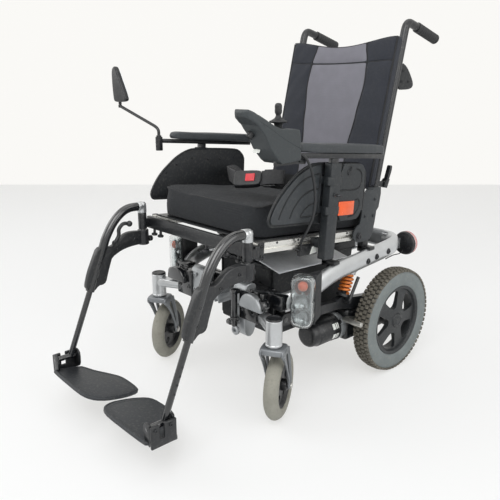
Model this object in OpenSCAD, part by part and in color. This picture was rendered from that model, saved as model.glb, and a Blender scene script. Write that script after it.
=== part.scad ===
// Power wheelchair with rear drive wheels, front castors and swing-away legrests.
// Millimetres. +Z is up and the chair faces -Y. The occupant's left is +X.
// The origin is on the floor, midway between the drive wheels, under their axle.

/* [Drive wheels] */
// Diameter of the drive tyres
drive_d = 341; // [338:1:344]
// Width of the drive tyres
drive_w = 58; // [54:1:60]
// Distance between the middles of the two drive tyres
drive_track = 538; // [536:1:542]
// Spokes in each drive wheel
drive_spokes = 5; // [4:1:6]

/* [Castors] */
// Diameter of the castor tyres
castor_d = 200; // [190:1:202]
// Width of the castor tyres
castor_w = 42; // [36:1:44]
// Distance from the drive axle forward to the castor stems
wheelbase = 537; // [535:1:540]
// Distance between the two castor stems
castor_track = 534; // [532:1:538]
// Distance that a castor wheel trails behind its stem
castor_trail = 55; // [50:1:58]
// Angle that the castors are turned from straight ahead
castor_turn = 29; // [0:1:40]

/* [Seat] */
// Width of the seat cushion
seat_w = 442; // [420:2:446]
// Length of the seat cushion
seat_l = 467; // [440:1:470]
// Thickness of the seat cushion
seat_t = 93; // [70:1:95]
// Angle that the seat's front is raised
seat_tilt = 4.5; // [3.5:0.5:5]

/* [Backrest] */
// Width of the back cushion
back_w = 430; // [410:2:434]
// Length of the back cushion
back_l = 462; // [440:1:470]
// Thickness of the back cushion
back_t = 41; // [34:1:42]
// Angle that the backrest leans back
recline = 13; // [11:1:14]

/* [Hidden] */
$fn = 48;
axle_z = drive_d / 2;
drive_x = drive_track / 2;
rim_r = 115;
axle_r = 10;
castor_x = castor_track / 2;
castor_r = castor_d / 2;
castor_hub_r = 66;
stem_r = 8;
bore_gap = 0.05;
crown_z = 237;
barrel_z0 = 241;
barrel_z1 = 313;
fork_leg_x = 27;

seat_pos = [0, -172, 468];
recline_at = [8, 0];
rail_x = 225;
rail_w = 24;
rail_z = 18;
guard_x = 259;
post_x = 282;
arm_z = 234.5;
arm_rail_t = 13;
arm_pad_t = 24;

back_pos = [0, -81, 596];
cane_x = 205;
cane_r = 12;
cane_groove = 24;
cane_back = cane_groove + cane_r + 0.5;
back_pivot = [cane_back + 45, 24];
grip_from = [cane_x, cane_back + 58, back_l + 50];
grip_to = [cane_x, cane_back + 172, back_l + 46];

legrest_x = 240;
legrest_y = -605;
leg_tube_r = 13;
bend_r = 12.6;
foot_tube_r = 8.5;
foot_hinge_z = 139;
leg_end = [legrest_x, -795, 320];
leg_dir = [0, -0.385, -0.923];

arm_pivot = [0, -450, 275];
motor_x = 179;
motor_y = -315;
gear_top = 230;
spring_x = 215;
spring_top = [spring_x, -164, 346];
spring_foot = [spring_x, -189, 287];

lever_pivot = [224, -135, 186];
lever_pin_r = 4;

stick_pos = [262, -526, 800];
button_pos = [266, -613, 829.5];
button_tilt = 26.6;
button_r = 6;

// Joystick cable: out of the module, down inside the arm and into its connector
cable_d = 7;
cable_route = [[294, -483, 740], [294, -468, 735], [293, -450, 718], [291, -432, 690], [291, -420, 650],
    [290, -415, 610], [286, -418, 570], [277, -426, 538], [264, -429, 514], [252, -425, 500],
    [246, -421, 488.8]];

silver = "silver";
dark = [0.16, 0.17, 0.18];
frame_black = [0.09, 0.09, 0.1];
cloth_black = [0.13, 0.14, 0.15];
tyre_grey = [0.55, 0.54, 0.51];

// ---- Helpers: paths, swept bars and frames ----

function unit(v) = v / norm(v);
function ellipse(rx, ry, n) = [for (i = [0:n - 1]) [rx * cos(360 * i / n), ry * sin(360 * i / n)]];

// Points round one corner of a route, cut back by d on each side
function corner(a, p, b, d, n) =
    let (s = p - min(d, norm(p - a) / 2) * unit(p - a), e = p + min(d, norm(b - p) / 2) * unit(b - p))
    [for (i = [0:n]) let (t = i / n) (1 - t) * (1 - t) * s + 2 * t * (1 - t) * p + t * t * e];

// A route with every inner corner rounded
function rounded(route, d, n = 4) = [
    route[0],
    for (i = [1:len(route) - 2]) each corner(route[i - 1], route[i], route[i + 1], d, n),
    route[len(route) - 1]];

function tangent(p, i) = unit(p[min(i + 1, len(p) - 1)] - p[max(i - 1, 0)]);

// A section carried along a route. up sets which way the section's first axis does not point.
module sweep(route, section, up = [1, 0, 0]) {
    m = len(section);
    k = len(route);
    points = [for (i = [0:k - 1])
        let (t = tangent(route, i), s = unit(cross(t, up)), n = cross(t, s))
        for (q = section) route[i] + s * q[0] + n * q[1]];
    sides = [for (i = [0:k - 2], j = [0:m - 1])
        let (a = i * m + j, b = i * m + (j + 1) % m)
        each [[a, a + m, b + m], [a, b + m, b]]];
    ends = [[for (j = [0:m - 1]) j], [for (j = [m - 1:-1:0]) (k - 1) * m + j]];
    polyhedron(points, concat(ends, sides));
}

// A straight round bar from a to b
module bar(a, b, r) {
    d = b - a;
    translate(a)
        rotate([0, acos(d[2] / norm(d)), atan2(d[1], d[0])])
            cylinder(h = norm(d), r = r);
}

// A round bar along X, through [y, z], from x0 to x1
module bar_x(y, z, r, x0, x1) translate([x0, y, z]) rotate([0, 90, 0]) cylinder(h = x1 - x0, r = r);

// A round bar along Y, through [x, z], from y0 to y1
module bar_y(x, z, r, y0, y1) translate([x, y0, z]) rotate([-90, 0, 0]) cylinder(h = y1 - y0, r = r);

// A [y, z] outline given thickness along X
module slab_x(x0, x1, outline) translate([x0, 0, 0]) rotate([90, 0, 90])
    linear_extrude(x1 - x0) polygon(outline);

// An [x, y] outline given thickness along Z
module slab_z(z0, z1, outline) translate([0, 0, z0]) linear_extrude(z1 - z0) polygon(outline);

// A box between two corners
module block(lo, hi) translate(lo) cube(hi - lo);

// A box between two corners with its upright edges rounded
module soft_block(lo, hi, r) {
    translate([0, 0, lo[2]])
        linear_extrude(hi[2] - lo[2])
            hull()
                for (x = [lo[0] + r, hi[0] - r], y = [lo[1] + r, hi[1] - r])
                    translate([x, y]) circle(r);
}

// The seat's own frame: +Y rearward along the rails, +Z up from them
module tilted() translate(seat_pos) rotate([-seat_tilt, 0, 0]) children();

// The back's own frame: +Z up along the cushion, +Y towards its rear
module reclined() translate(back_pos) rotate([-recline, 0, 0]) children();

// The right-hand copy of a left-hand piece
module right() mirror([1, 0, 0]) children();

// ---- Chassis ----

module side_tube() {
    route = rounded([[222, -461, 326], [250, -415, 342], [250, -277, 384],
        [250, -60, 403], [250, 22, 413], [214, 55, 414], [184, 56, 414]], 40);
    color(silver) {
        sweep(route, ellipse(17, 28, 16), up = [0, 0, 1]);
        // Upper seat of the suspension spring
        bar(spring_top, spring_top + [0, 6, 14], 20);
        block([spring_x - 8, -174, 352], [spring_x + 20, -146, 372]);
        // Bolt heads along the outer face
        for (yz = [[-140, 392], [-98, 398], [-38, 404]])
            bar_x(yz[0], yz[1], 7, 262, 270);
    }
}

module rear_cross_tube() {
    color(silver) {
        translate([-184, 0, 0])
            rotate([90, 0, 90])
                linear_extrude(368)
                    hull()
                        for (z = [402, 426]) translate([56, z]) circle(16);
        // Tray for the power module
        block([-96, -104, 367], [96, 40, 371]);
        for (x = [-80, 68]) block([x, 30, 371], [x + 12, 56, 400]);
    }
    // Rear lamp brackets
    color(frame_black)
        for (s = [-1, 1]) {
            slab_x(s * 206 - 2, s * 206 + 2, [[60, 384], [78, 376], [84, 380], [84, 420], [60, 426]]);
            block([min(s * 204, s * 228), 78, 384], [max(s * 204, s * 228), 84, 418]);
        }
}

module front_cross_beam() {
    color(frame_black) {
        block([-150, -446, 312], [150, -414, 340]);
        for (x = [-70, 50]) block([x, -415, 316], [x + 20, -396.2, 336]);
        for (s = [-1, 1]) {
            // Block that joins beam, castor arm and side tube
            block([s > 0 ? 110 : -186, -522, 268], [s > 0 ? 186 : -110, -446, 350]);
            block([s > 0 ? 184 : -240, -482, 310], [s > 0 ? 240 : -184, -450, 354]);
            // Lug and pin of the drive unit's pivot
            block([s > 0 ? 184 : -196, -470, 258], [s > 0 ? 196 : -184, -432, 322]);
            bar_x(arm_pivot[1], arm_pivot[2], stem_r, s > 0 ? 184 : -226, s > 0 ? 226 : -184);
            // Screw clamp over the block
            bar_y(s * 205, 330, 17, -532, -508);
            block([s > 0 ? 184 : -214, -530, 308], [s > 0 ? 214 : -184, -506, 334]);
            for (x = [150, 172, 196]) translate([s * x, -512, 334]) cylinder(h = 24, r = 5);
        }
        // Tie-down stay
        translate([103, -532, 244]) cylinder(h = 107, r = 9);
        block([92, -540, 340], [114, -518, 354]);
        translate([103, -532, 262]) cylinder(h = 10, r = 13);
    }
    color(silver) {
        // Cast brackets in front of the battery box
        for (s = [-1, 1])
            slab_x(s > 0 ? 74 : -126, s > 0 ? 126 : -74,
                [[-516, 366], [-464, 366], [-464, 262], [-476, 214], [-494, 204], [-516, 220]]);
        // Rounded plates over the joining blocks
        for (s = [-1, 1])
            translate([s * 172, -540, 318]) rotate([-90, 0, 0])
                difference() {
                    cylinder(h = 19, r = 40);
                    translate([-41, 6, -1]) cube([82, 36, 22]);
                }
        // Ribbed casting along the middle
        block([-22, -524, 296], [22, -416, 314]);
        for (x = [-20, -3, 14]) block([x, -520, 284], [x + 6, -430, 298]);
        // Eye and knob at the foot of the stay
        translate([108, -526, 232]) rotate([90, 0, 0])
            difference() {
                cylinder(h = 12, r = 14);
                translate([0, 0, -1]) cylinder(h = 14, r = 6);
            }
        bar_x(-532, 250, 4, 82, 103);
    }
    color(frame_black) bar_x(-532, 250, 9, 74, 90);
}

module castor_arm() {
    color(silver)
        difference() {
            union() {
                translate([castor_x, -wheelbase, barrel_z0])
                    cylinder(h = barrel_z1 - barrel_z0, r = 23);
                slab_z(270, 306, [[castor_x + 6, -wheelbase + 16], [castor_x - 8, -wheelbase - 20],
                    [186.2, -519], [186.2, -484], [218, -492]]);
            }
            translate([castor_x, -wheelbase, barrel_z0 - 1]) cylinder(h = 71, r = stem_r + bore_gap);
        }
    color(frame_black)
        translate([castor_x, -wheelbase, barrel_z1]) cylinder(h = 5, r1 = 22, r2 = 19);
}

module battery_box() {
    color(frame_black)
        difference() {
            soft_block([-110, -396, 262], [110, -106, 386], 8);
            soft_block([-105, -391, 267], [105, -111, 388], 4);
        }
}

// Two sealed batteries, each with two terminals
module batteries() {
    for (y = [-387, -252])
        color(dark) {
            block([-98, y, 267.3], [98, y + 131, 382]);
            for (x = [-80, 80]) translate([x, y + 24, 382]) cylinder(h = 7, r = 7);
        }
}

// Folded sheet hood over the batteries
module battery_cover() {
    hood_l = 305;
    color([0.45, 0.46, 0.47])
        translate([0, -432, 0]) rotate([88, 0, 0]) translate([0, 0, -hood_l])
            linear_extrude(hood_l)
                polygon([[-166, 392], [-80, 411], [80, 411], [166, 392], [165, 388], [79.5, 407],
                    [-79.5, 407], [-165, 388]]);
}

module power_module() {
    color(dark) {
        block([-90, -98, 371.2], [90, 24, 398]);
        for (x = [-84:14:84]) block([x - 2.5, -94, 397], [x + 2.5, 20, 408]);
    }
    color(frame_black)
        for (x = [-66, -22, 22, 66]) block([x - 14, -106, 376], [x + 14, -97, 392]);
}

module front_lamp() {
    translate([297, -468, 349]) rotate([0, 0, 28]) {
        // Shell, cut away beside the frame tube
        color(frame_black)
            translate([0, 0, -66]) linear_extrude(132)
                polygon([[-30, 40], [31, 40], [34, 90], [25, 96], [17, 84], [2, 56], [-22, 43]]);
        color([0.85, 0.87, 0.88])
            translate([0, 40, 0]) rotate([90, 0, 0]) linear_extrude(40)
                hull() {
                    for (x = [-20, 20]) translate([x, 60]) circle(12);
                    for (x = [-16, 16]) translate([x, -56]) circle(16);
                }
    }
    // Bracket to the side tube
    color(frame_black) block([262, -400, 352], [284, -386, 366]);
}

module rear_lamp() {
    translate([240, 84, 402]) rotate([-90, 0, 0]) {
        color(frame_black) cylinder(h = 11, r1 = 36, r2 = 39);
        color([0.85, 0.3, 0.25]) translate([0, 0, 11]) cylinder(h = 22, r1 = 38, r2 = 33);
    }
}

// ---- Drive units ----

module swing_arm() {
    color(frame_black) {
        difference() {
            union() {
                bar_x(arm_pivot[1], arm_pivot[2], 17, 199, 225);
                slab_x(203, 223, [[-450, 258], [-330, 250], [-220, 246], [-150, gear_top + 0.2],
                    [-40, gear_top + 0.2], [-60, 256], [-150, 268], [-168, 280], [-214, 280], [-230, 272],
                    [-330, 280], [-450, 292]]);
            }
            bar_x(arm_pivot[1], arm_pivot[2], stem_r + bore_gap, 190, 230);
        }
        // Lower seat of the suspension spring
        bar(spring_foot - [0, 3, 7], spring_foot, 21);
        // Guard rod beside the spring
        bar([241, -192, 268], [241, -150, 338], 5);
        bar_x(-192, 268, 6, 222, 246);
    }
}

module motor() {
    color(dark)
        translate([motor_x, motor_y, axle_z]) rotate([-90, 0, 0])
            rotate_extrude()
                polygon([[0, 0], [30, 0], [35.5, 5], [38, 22], [41, 30], [41, 118], [0, 118]]);
    color(silver) {
        bar_y(motor_x, axle_z, 43, -197, -174);
        block([motor_x + 30, -196, axle_z + 16], [motor_x + 43, -176, axle_z + 34]);
    }
    color(frame_black) {
        soft_block([146, -174, 126], [222, 44, gear_top], 12);
        bar_x(0, axle_z, 30, 221, 226);
    }
    // Pivot of the freewheel lever
    color(silver) bar_x(lever_pivot[1], lever_pivot[2], lever_pin_r, 221, 228.4);
    color(silver) bar_x(0, axle_z, axle_r, 220, 300);
}

// Release lever on the gearbox that frees the wheel from the motor
module freewheel_lever() {
    color(silver)
        difference() {
            union() {
                bar_x(-188, 205, 8, 222.4, 290);
                slab_x(222.4, 227, [[-196, 205], [-180, 197], [-146, 172], [-136, 168], [-122, 176],
                    [-120, 190], [-126, 200], [-150, 204], [-180, 214]]);
            }
            bar_x(lever_pivot[1], lever_pivot[2], lever_pin_r + bore_gap, 220, 230);
        }
}

module spring() {
    turns = 5;
    coil_r = 15.5;
    wire_r = 3.6;
    axis = unit(spring_foot - spring_top);
    side = [1, 0, 0];
    fore = cross(axis, side);
    reach = norm(spring_foot - spring_top) - 2 * wire_r;
    coil = [for (i = [0:turns * 14])
        let (a = 360 * i / 14)
        spring_top + axis * (wire_r + reach * i / (turns * 14))
            + side * coil_r * cos(a) + fore * coil_r * sin(a)];
    color([0.85, 0.42, 0.12]) sweep(coil, ellipse(wire_r, wire_r, 6), up = axis);
    color(dark) bar(spring_top + axis, spring_foot - axis, 8);
}

module drive_wheel() {
    translate([drive_x, 0, axle_z]) rotate([0, 90, 0]) {
        h = drive_w / 2;
        color(tyre_grey)
            rotate_extrude($fn = 96)
                polygon([[rim_r, -h + 6], [rim_r + 7, -h + 2], [140, -h], [155, -h + 1],
                    [axle_z - 7, -h + 7], [axle_z - 1, -h + 14], [axle_z, -6], [axle_z, 6],
                    [axle_z - 1, h - 14], [axle_z - 7, h - 7], [155, h - 1], [140, h],
                    [rim_r + 7, h - 2], [rim_r, h - 6]]);
        color(dark)
            difference() {
                union() {
                    rotate_extrude($fn = 96)
                        polygon([[103, -h + 8], [rim_r - 0.1, -h + 5], [rim_r - 0.1, h - 5], [105, h - 6],
                            [101, h - 16], [100, -h + 20]]);
                    translate([0, 0, 3]) cylinder(h = 14, r = 102, $fn = 96);
                    translate([0, 0, -32]) cylinder(h = 58, r = 27);
                }
                for (i = [0:drive_spokes - 1])
                    rotate(54 + 360 * i / drive_spokes)
                        translate([0, 0, -40]) linear_extrude(80)
                            polygon([[38, -8], [58, -26], [82, -40], [92, -34], [95, -20], [97, 0], [95, 20],
                                [92, 34], [82, 40], [58, 26], [38, 8]]);
                translate([0, 0, -50]) cylinder(h = 100, r = axle_r + bore_gap);
            }
    }
}

// ---- Castors, drawn with the stem on the Z axis and turned about it ----

module at_castor(side) {
    translate([side * castor_x, -wheelbase, 0]) rotate([0, 0, castor_turn]) children();
}

module castor_fork() {
    leg = [[-26, crown_z], [30, crown_z], [40, 214], [52, 170], [68, 114], [68, 94], [60, 88], [50, 88],
        [42, 94], [38, 120], [10, 176], [-14, 206], [-26, 220]];
    color(silver) {
        translate([0, 0, crown_z - 1]) cylinder(h = 71, r = stem_r);
        translate([0, 0, crown_z - 1]) cylinder(h = 4, r = 15);
        slab_z(crown_z - 18, crown_z, [[-33, -20], [-24, -29], [24, -29], [33, -20], [33, 26], [26, 33],
            [-26, 33], [-33, 26]]);
        for (s = [-1, 1])
            slab_x(s > 0 ? fork_leg_x : -fork_leg_x - 6, s > 0 ? fork_leg_x + 6 : -fork_leg_x, leg);
        bar_x(castor_trail, castor_r, 6, -38, 38);
        for (x = [-40, 35]) bar_x(castor_trail, castor_r, 9, x, x + 5);
    }
}

module castor_wheel() {
    translate([0, castor_trail, castor_r]) rotate([0, 90, 0]) {
        h = castor_w / 2;
        color(tyre_grey)
            rotate_extrude($fn = 72)
                polygon([[castor_hub_r, -h + 5], [castor_hub_r + 8, -h], [82, -h + 1], [92, -h + 6],
                    [98, -h + 13], [castor_r, -4], [castor_r, 4], [98, h - 13], [92, h - 6], [82, h - 1],
                    [castor_hub_r + 8, h], [castor_hub_r, h - 5]]);
        color(dark)
            difference() {
                union() {
                    cylinder(h = 2 * h - 12, r = castor_hub_r - 0.1, center = true);
                    cylinder(h = 2 * fork_leg_x - 0.6, r = 17, center = true);
                }
                for (z = [-h, h - 12]) translate([0, 0, z])
                    difference() {
                        cylinder(h = 12, r = 58);
                        translate([0, 0, -1]) cylinder(h = 14, r = 22);
                    }
                cylinder(h = 80, r = 6 + bore_gap, center = true);
            }
    }
}

// ---- Seat ----

module seat_frame() {
    slot_t = 8;
    tilted() {
        // Slotted aluminium side rails
        color(silver)
            for (s = [-1, 1])
                difference() {
                    block([s * rail_x - rail_w / 2, -400, -10], [s * rail_x + rail_w / 2, 62, rail_z]);
                    block([s * rail_x - rail_w, -401, 4 - slot_t / 2],
                        [s * rail_x - rail_w / 2 + 6, 63, 4 + slot_t / 2]);
                    block([s * rail_x + rail_w / 2 - 6, -401, 4 - slot_t / 2],
                        [s * rail_x + rail_w, 63, 4 + slot_t / 2]);
                }
        color(frame_black) {
            // Front and rear crossbars
            block([-247, -415, -22], [247, -400.2, 14]);
            block([-212.8, 28, -8], [212.8, 48, 14]);
            // Knurled screws under the front bar
            for (x = [-212, -179, 44, 180]) {
                translate([x, -408, -34]) cylinder(h = 13, r = 4);
                translate([x, -408, -42]) cylinder(h = 8, r = 9);
            }
            // Holder plates where the rails end
            for (s = [-1, 1]) block([s > 0 ? 237.2 : -243, -398, -26], [s > 0 ? 243 : -237.2, -380, 20]);
        }
        // Connector of the joystick cable
        color(frame_black) block([237.2, -252, -30], [250, -182, -1]);
    }
    color(frame_black) {
        // Posts down to the chassis
        for (s = [-1, 1]) {
            block([s * rail_x - 11, -295, 400], [s * rail_x + 11, -269, 470]);
            block([s > 0 ? 214 : -262, -295, 407], [s > 0 ? 262 : -214, -269, 417]);
            block([s * rail_x - 11, -130, 412], [s * rail_x + 11, -104, 456]);
            block([s > 0 ? 214 : -262, -130, 421], [s > 0 ? 262 : -214, -104, 431]);
        }
        // Receivers for the legrests
        for (s = [-1, 1])
            difference() {
                union() {
                    translate([s * legrest_x, legrest_y, 479]) cylinder(h = 49, r = leg_tube_r);
                    block([s * legrest_x - 7, legrest_y, 482], [s * legrest_x + 7, -584.5, 508]);
                }
                translate([s * legrest_x, legrest_y, 470]) cylinder(h = 70, r = stem_r + bore_gap);
            }
    }
}

module seat_pan() color(frame_black) tilted() block([-222, -396, rail_z + 0.2], [222, 66, rail_z + 4]);

module seat_cushion() {
    lo = rail_z + 4.3;
    hi = lo + seat_t;
    color(cloth_black)
        tilted()
            intersection() {
                slab_x(-seat_w / 2, seat_w / 2, [[85 - seat_l, lo], [85, lo], [85, hi - 14], [71, hi - 4],
                    [-60, hi - 8], [-200, hi - 4], [-330, hi], [102 - seat_l, hi - 6], [88 - seat_l, hi - 22]]);
                soft_block([-seat_w / 2, 85 - seat_l, lo - 1], [seat_w / 2, 85, hi + 1], 26);
            }
}

// ---- Sides and arms ----

// The side guard's outline: a quarter oval in front and a round corner behind
guard_outline = [[-377, 62], [-388, 66], [-393, 81], [-367, 130], [-330, 168], [-284, 202], [-237, 219],
    [-65, 220], [-40, 216], [-20, 200], [-13, 184], [-13, 62]];

module side_guard() {
    post_hole = [7.1, 13.1];
    tilted() {
        color(frame_black) {
            slab_x(guard_x, guard_x + 4, guard_outline);
            // Post that carries the armrest, hollow for its bar
            difference() {
                block([post_x - 13, -205, -36], [post_x + 14, -165, 223]);
                block([post_x - post_hole[0], -185 - post_hole[1], 20],
                    [post_x + post_hole[0], -185 + post_hole[1], 230]);
            }
            block([237.2, -200, -0.6], [post_x - 12.8, -170, 16]);
            for (z = [89, 167]) block([guard_x + 3.8, -214, z], [post_x - 12.8, -182, z + 18]);
        }
        color(dark) {
            // Front cover panel
            slab_x(guard_x + 4.2, guard_x + 9, [[-377, 66], [-386, 70], [-389, 81], [-364, 127],
                [-328, 165], [-282, 199], [-237, 215], [-209, 215], [-209, 66]]);
            // Rear cover panel
            slab_x(post_x + 2, post_x + 9, [[-164.8, 68], [-80, 68], [-56, 92], [-56, 200], [-74, 221],
                [-164.8, 221]]);
            for (z = [90, 190]) block([guard_x + 3.8, -120, z], [post_x + 2.2, -104, z + 12]);
        }
        color([0.95, 0.35, 0.12]) block([post_x + 9.2, -162, 82], [post_x + 13, -96, 120]);
    }
}

// Bar in the post and rail under the pad: they rise together
module armrest() {
    color(frame_black)
        tilted() {
            block([post_x - 7, -185 - 13, 60], [post_x + 7, -185 + 13, arm_z + 0.2]);
            block([post_x - 7, -345, arm_z], [post_x + 7, 28, arm_z + arm_rail_t]);
        }
}

module arm_pad() {
    z0 = arm_z + arm_rail_t + 0.2;
    color(dark)
        tilted()
            intersection() {
                soft_block([232, -323, z0 - 1], [292, 50, z0 + arm_pad_t + 1], 22);
                slab_x(231, 293, [[-324, z0 + 8], [-310, z0], [34, z0], [51, z0 + 3], [51, z0 + 9],
                    [30, z0 + arm_pad_t], [-310, z0 + arm_pad_t], [-324, z0 + 16]]);
            }
}

module joystick_housing() {
    profile = [[-661, 842], [-656, 847], [-648, 848.6], [-640, 845], [-628, 837], [-598, 822], [-573, 809],
        [-550, 801], [-504, 799], [-490, 796], [-486, 772], [-484, 724], [-548, 720], [-561, 730],
        [-585, 757], [-605, 790], [-626, 814], [-657, 834]];
    plan = [[236, -480], [300, -480], [300, -618], [297, -638], [290, -650], [280, -659], [268, -663],
        [256, -658], [246, -648], [240, -632], [237, -605], [236, -580]];
    color(dark)
        difference() {
            intersection() {
                slab_x(220, 310, profile);
                slab_z(700, 870, plan);
            }
            // Pocket for the end of the arm rail
            tilted() block([post_x - 7.3, -346, arm_z - 0.3], [post_x + 7.3, -300, arm_z + arm_rail_t + 0.3]);
            // Wells for the gimbal and the power button
            translate([stick_pos[0], stick_pos[1], stick_pos[2] - 18]) cylinder(h = 40, r = 19);
            translate(button_pos) rotate([-button_tilt, 0, 0])
                translate([0, 0, -6]) cylinder(h = 20, r = button_r + bore_gap);
        }
    // Bar that clamps the module to the arm rail
    color(frame_black) {
        block([post_x - 6, -556, 714], [post_x + 6, -490, 726]);
        tilted() block([post_x - 7, -392, arm_z - 14], [post_x + 7, -300, arm_z - 0.2]);
    }
    // Pivots of the gimbal, in the well's walls
    color(silver)
        for (x = [240, 278]) bar_x(stick_pos[1], stick_pos[2] - 6, 2, x, x + 6);
}

// Ring that tilts fore and aft about X
module joystick_gimbal() {
    color(frame_black)
        translate(stick_pos - [0, 0, 6])
            difference() {
                union() {
                    cylinder(h = 7, r = 16, center = true);
                    rotate([0, 90, 0]) cylinder(h = 34, r = 3.5, center = true);
                }
                cylinder(h = 9, r = 11, center = true);
                rotate([0, 90, 0]) difference() {
                    cylinder(h = 40, r = 2 + bore_gap, center = true);
                    cylinder(h = 20, r = 3, center = true);
                }
                rotate([90, 0, 0]) cylinder(h = 40, r = 2 + bore_gap, center = true);
            }
}

// Stick, boot and knob, tilting sideways about Y
module joystick_stick() {
    translate(stick_pos - [0, 0, 6]) {
        color(silver) rotate([90, 0, 0]) cylinder(h = 30, r = 2, center = true);
        color(frame_black)
            rotate_extrude()
                polygon([[0, -7], [4, -7], [9, -2], [9, 12], [11, 19], [21, 21], [22, 24], [18, 26],
                    [12, 29], [8, 32], [6, 36], [7, 42], [9, 48], [9, 58], [7, 64], [3, 66], [0, 66]]);
    }
}

module power_button() {
    color([0.75, 0.2, 0.15])
        translate(button_pos) rotate([-button_tilt, 0, 0])
            translate([0, 0, -3.5]) cylinder(h = 6, r = button_r);
}

module joystick_cable() {
    color(frame_black)
        sweep(rounded(cable_route, 12, 2), ellipse(cable_d / 2, cable_d / 2, 8), up = [1, 0.05, 0]);
}

// ---- Mirror on the right arm ----

mirror_foot = [-282, -505, 748];
mirror_joint = [-443, -541, 838];

// Sleeve at the front of the arm rail that takes the mirror's foot
module mirror_clamp() {
    color(frame_black)
        difference() {
            translate([mirror_foot[0], mirror_foot[1], 706]) cylinder(h = 42, r = 11);
            translate([mirror_foot[0], mirror_foot[1], 714]) cylinder(h = 40, r = 5 + bore_gap);
        }
}

module mirror_arm() {
    color(frame_black) {
        translate([mirror_foot[0], mirror_foot[1], 714.4]) cylinder(h = 40, r = 5);
        translate(mirror_foot + [0, 0, 0.4]) cylinder(h = 4, r = 8);
        sweep(rounded([mirror_foot + [0, 0, 4], mirror_foot + [0, 0, 26], mirror_joint - [0, 0, 1]], 18),
            ellipse(5, 5, 8), up = [0, 1, 0]);
        translate(mirror_joint + [0, 0, -5]) cylinder(h = 9, r = 6);
    }
}

module mirror_head() {
    outline = [[-466, 858], [-470, 944], [-464, 956], [-454, 961], [-444, 956], [-396, 872], [-391, 860],
        [-398, 852], [-458, 850]];
    color(frame_black) {
        translate([0, -536, 0]) rotate([90, 0, 0]) linear_extrude(16) polygon(outline);
        translate(mirror_joint + [0, 0, 4.4]) cylinder(h = 14, r = 5);
    }
    color([0.8, 0.85, 0.9])
        translate([0, -532.8, 0]) rotate([90, 0, 0]) linear_extrude(3)
            polygon([for (p = outline) [(p[0] + 434) * 0.9 - 434, (p[1] - 900) * 0.9 + 900]]);
}

// ---- Backrest ----

module back_cane() {
    top = back_l + 4;
    color(frame_black) {
        reclined() {
            // Upright, bend and arm of the push handle
            translate([cane_x, cane_back, -52]) cylinder(h = top + 54, r = cane_r);
            sweep(rounded([[cane_x, cane_back, top], [cane_x, cane_back, top + 47],
                [cane_x, cane_back + 46, top + 47], [cane_x, cane_back + 80, top + 45]], 26),
                ellipse(cane_r, cane_r, 12));
            // Lug and pin of the clamp lever
            block([cane_x - 4, cane_back + 6, back_pivot[1] - 9], [cane_x + 4, back_pivot[0] + 6,
                back_pivot[1] + 9]);
            bar_x(back_pivot[0], back_pivot[1], 3, cane_x - 10, cane_x + 10);
            // Shield behind the cane
            slab_x(cane_x - 5, cane_x + 5, [[cane_back + 8, 310], [cane_back + 87, 330],
                [cane_back + 95, 350], [cane_back + 47, 388], [cane_back + 8, 396]]);
        }
        // Angle bracket on the seat rail's pivot
        tilted()
            difference() {
                slab_x(238.6, 244.6, [[-20, 16], [-16, -8], [8, -18], [34, -16], [72, -10], [84, 60],
                    [84, 140], [12, 140], [12, 40], [-8, 30]]);
                bar_x(recline_at[0], recline_at[1], 6 + bore_gap, 230, 250);
            }
        // Inner plate and spacer between bracket and cane
        tilted() {
            slab_x(216, 222, [[60, 118], [88, 118], [92, 70], [112, 64], [126, 80], [131, 122], [128, 142],
                [60, 142]]);
            bar_x(70, 130, 9, 217, 242);
        }
    }
    // Rubber grip
    color(dark) reclined() bar(grip_from, grip_to, 15.5);
}

module recline_pins() {
    color(silver)
        tilted()
            for (s = [-1, 1]) bar_x(recline_at[0], recline_at[1], 6, s > 0 ? 236 : -249, s > 0 ? 249 : -236);
}

// Clamp lever at the foot of each back cane
module back_lever() {
    y = back_pivot[0];
    z = back_pivot[1];
    color(frame_black)
        reclined()
            difference() {
                union() {
                    for (x = [cane_x - 9.5, cane_x + 4.5])
                        slab_x(x, x + 5, [[y - 8, z - 8], [y + 8, z - 9], [y + 14, z + 20], [y + 3, z + 20],
                            [y - 8, z + 6]]);
                    slab_x(cane_x - 8, cane_x + 8, [[y + 3, z + 12.5], [y + 12, z + 12.5], [y + 19, z + 48],
                        [y + 17, z + 63], [y + 9, z + 63], [y + 7, z + 40]]);
                }
                bar_x(y, z, 3 + bore_gap, cane_x - 12, cane_x + 12);
            }
}

module back_cushion() {
    half = back_w / 2;
    top = back_l;
    panel = [[-92, -1], [92, -1], [96, 120], [109, 320], [84, 440], [78, top + 20], [-78, top + 20],
        [-84, 440], [-109, 320], [-96, 120]];
    color(cloth_black)
        reclined()
            difference() {
                translate([0, back_t, 0]) rotate([90, 0, 0]) linear_extrude(back_t)
                    polygon([[-half + 14, 0], [half - 14, 0], [half, 16], [half, top - 14], [half - 16, top],
                        [160, top - 5], [84, top - 18], [0, top - 23], [-84, top - 18], [-160, top - 5],
                        [-half + 16, top], [-half, top - 14], [-half, 16]]);
                translate([0, 18, 0]) rotate([90, 0, 0]) linear_extrude(30) polygon(panel);
                // Rear corners that take the canes
                for (s = [-1, 1])
                    block([s > 0 ? 191 : -half - 1, cane_groove, -1], [s > 0 ? half + 1 : -191, back_t + 1,
                        top + 1]);
            }
}

// ---- Lap belt ----

module strap(route) sweep(rounded(route, 30), [[-1, -22], [1, -22], [1, 22], [-1, 22]], up = [0.6, 0.8, 0]);

module lap_belt() {
    color(cloth_black) {
        strap([[241, -168, 575], [230, -230, 626], [200, -330, 640], [170, -420, 650], [142, -455, 660]]);
        strap([[-240, -168, 572], [-228, -230, 622], [-150, -340, 634], [-40, -414, 642], [54, -478, 650]]);
    }
}

// Centre of the buckle and the turn that faces it forward and up
buckle_at = [108, -484, 657];
buckle_turn = [48, -4, 35];

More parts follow.
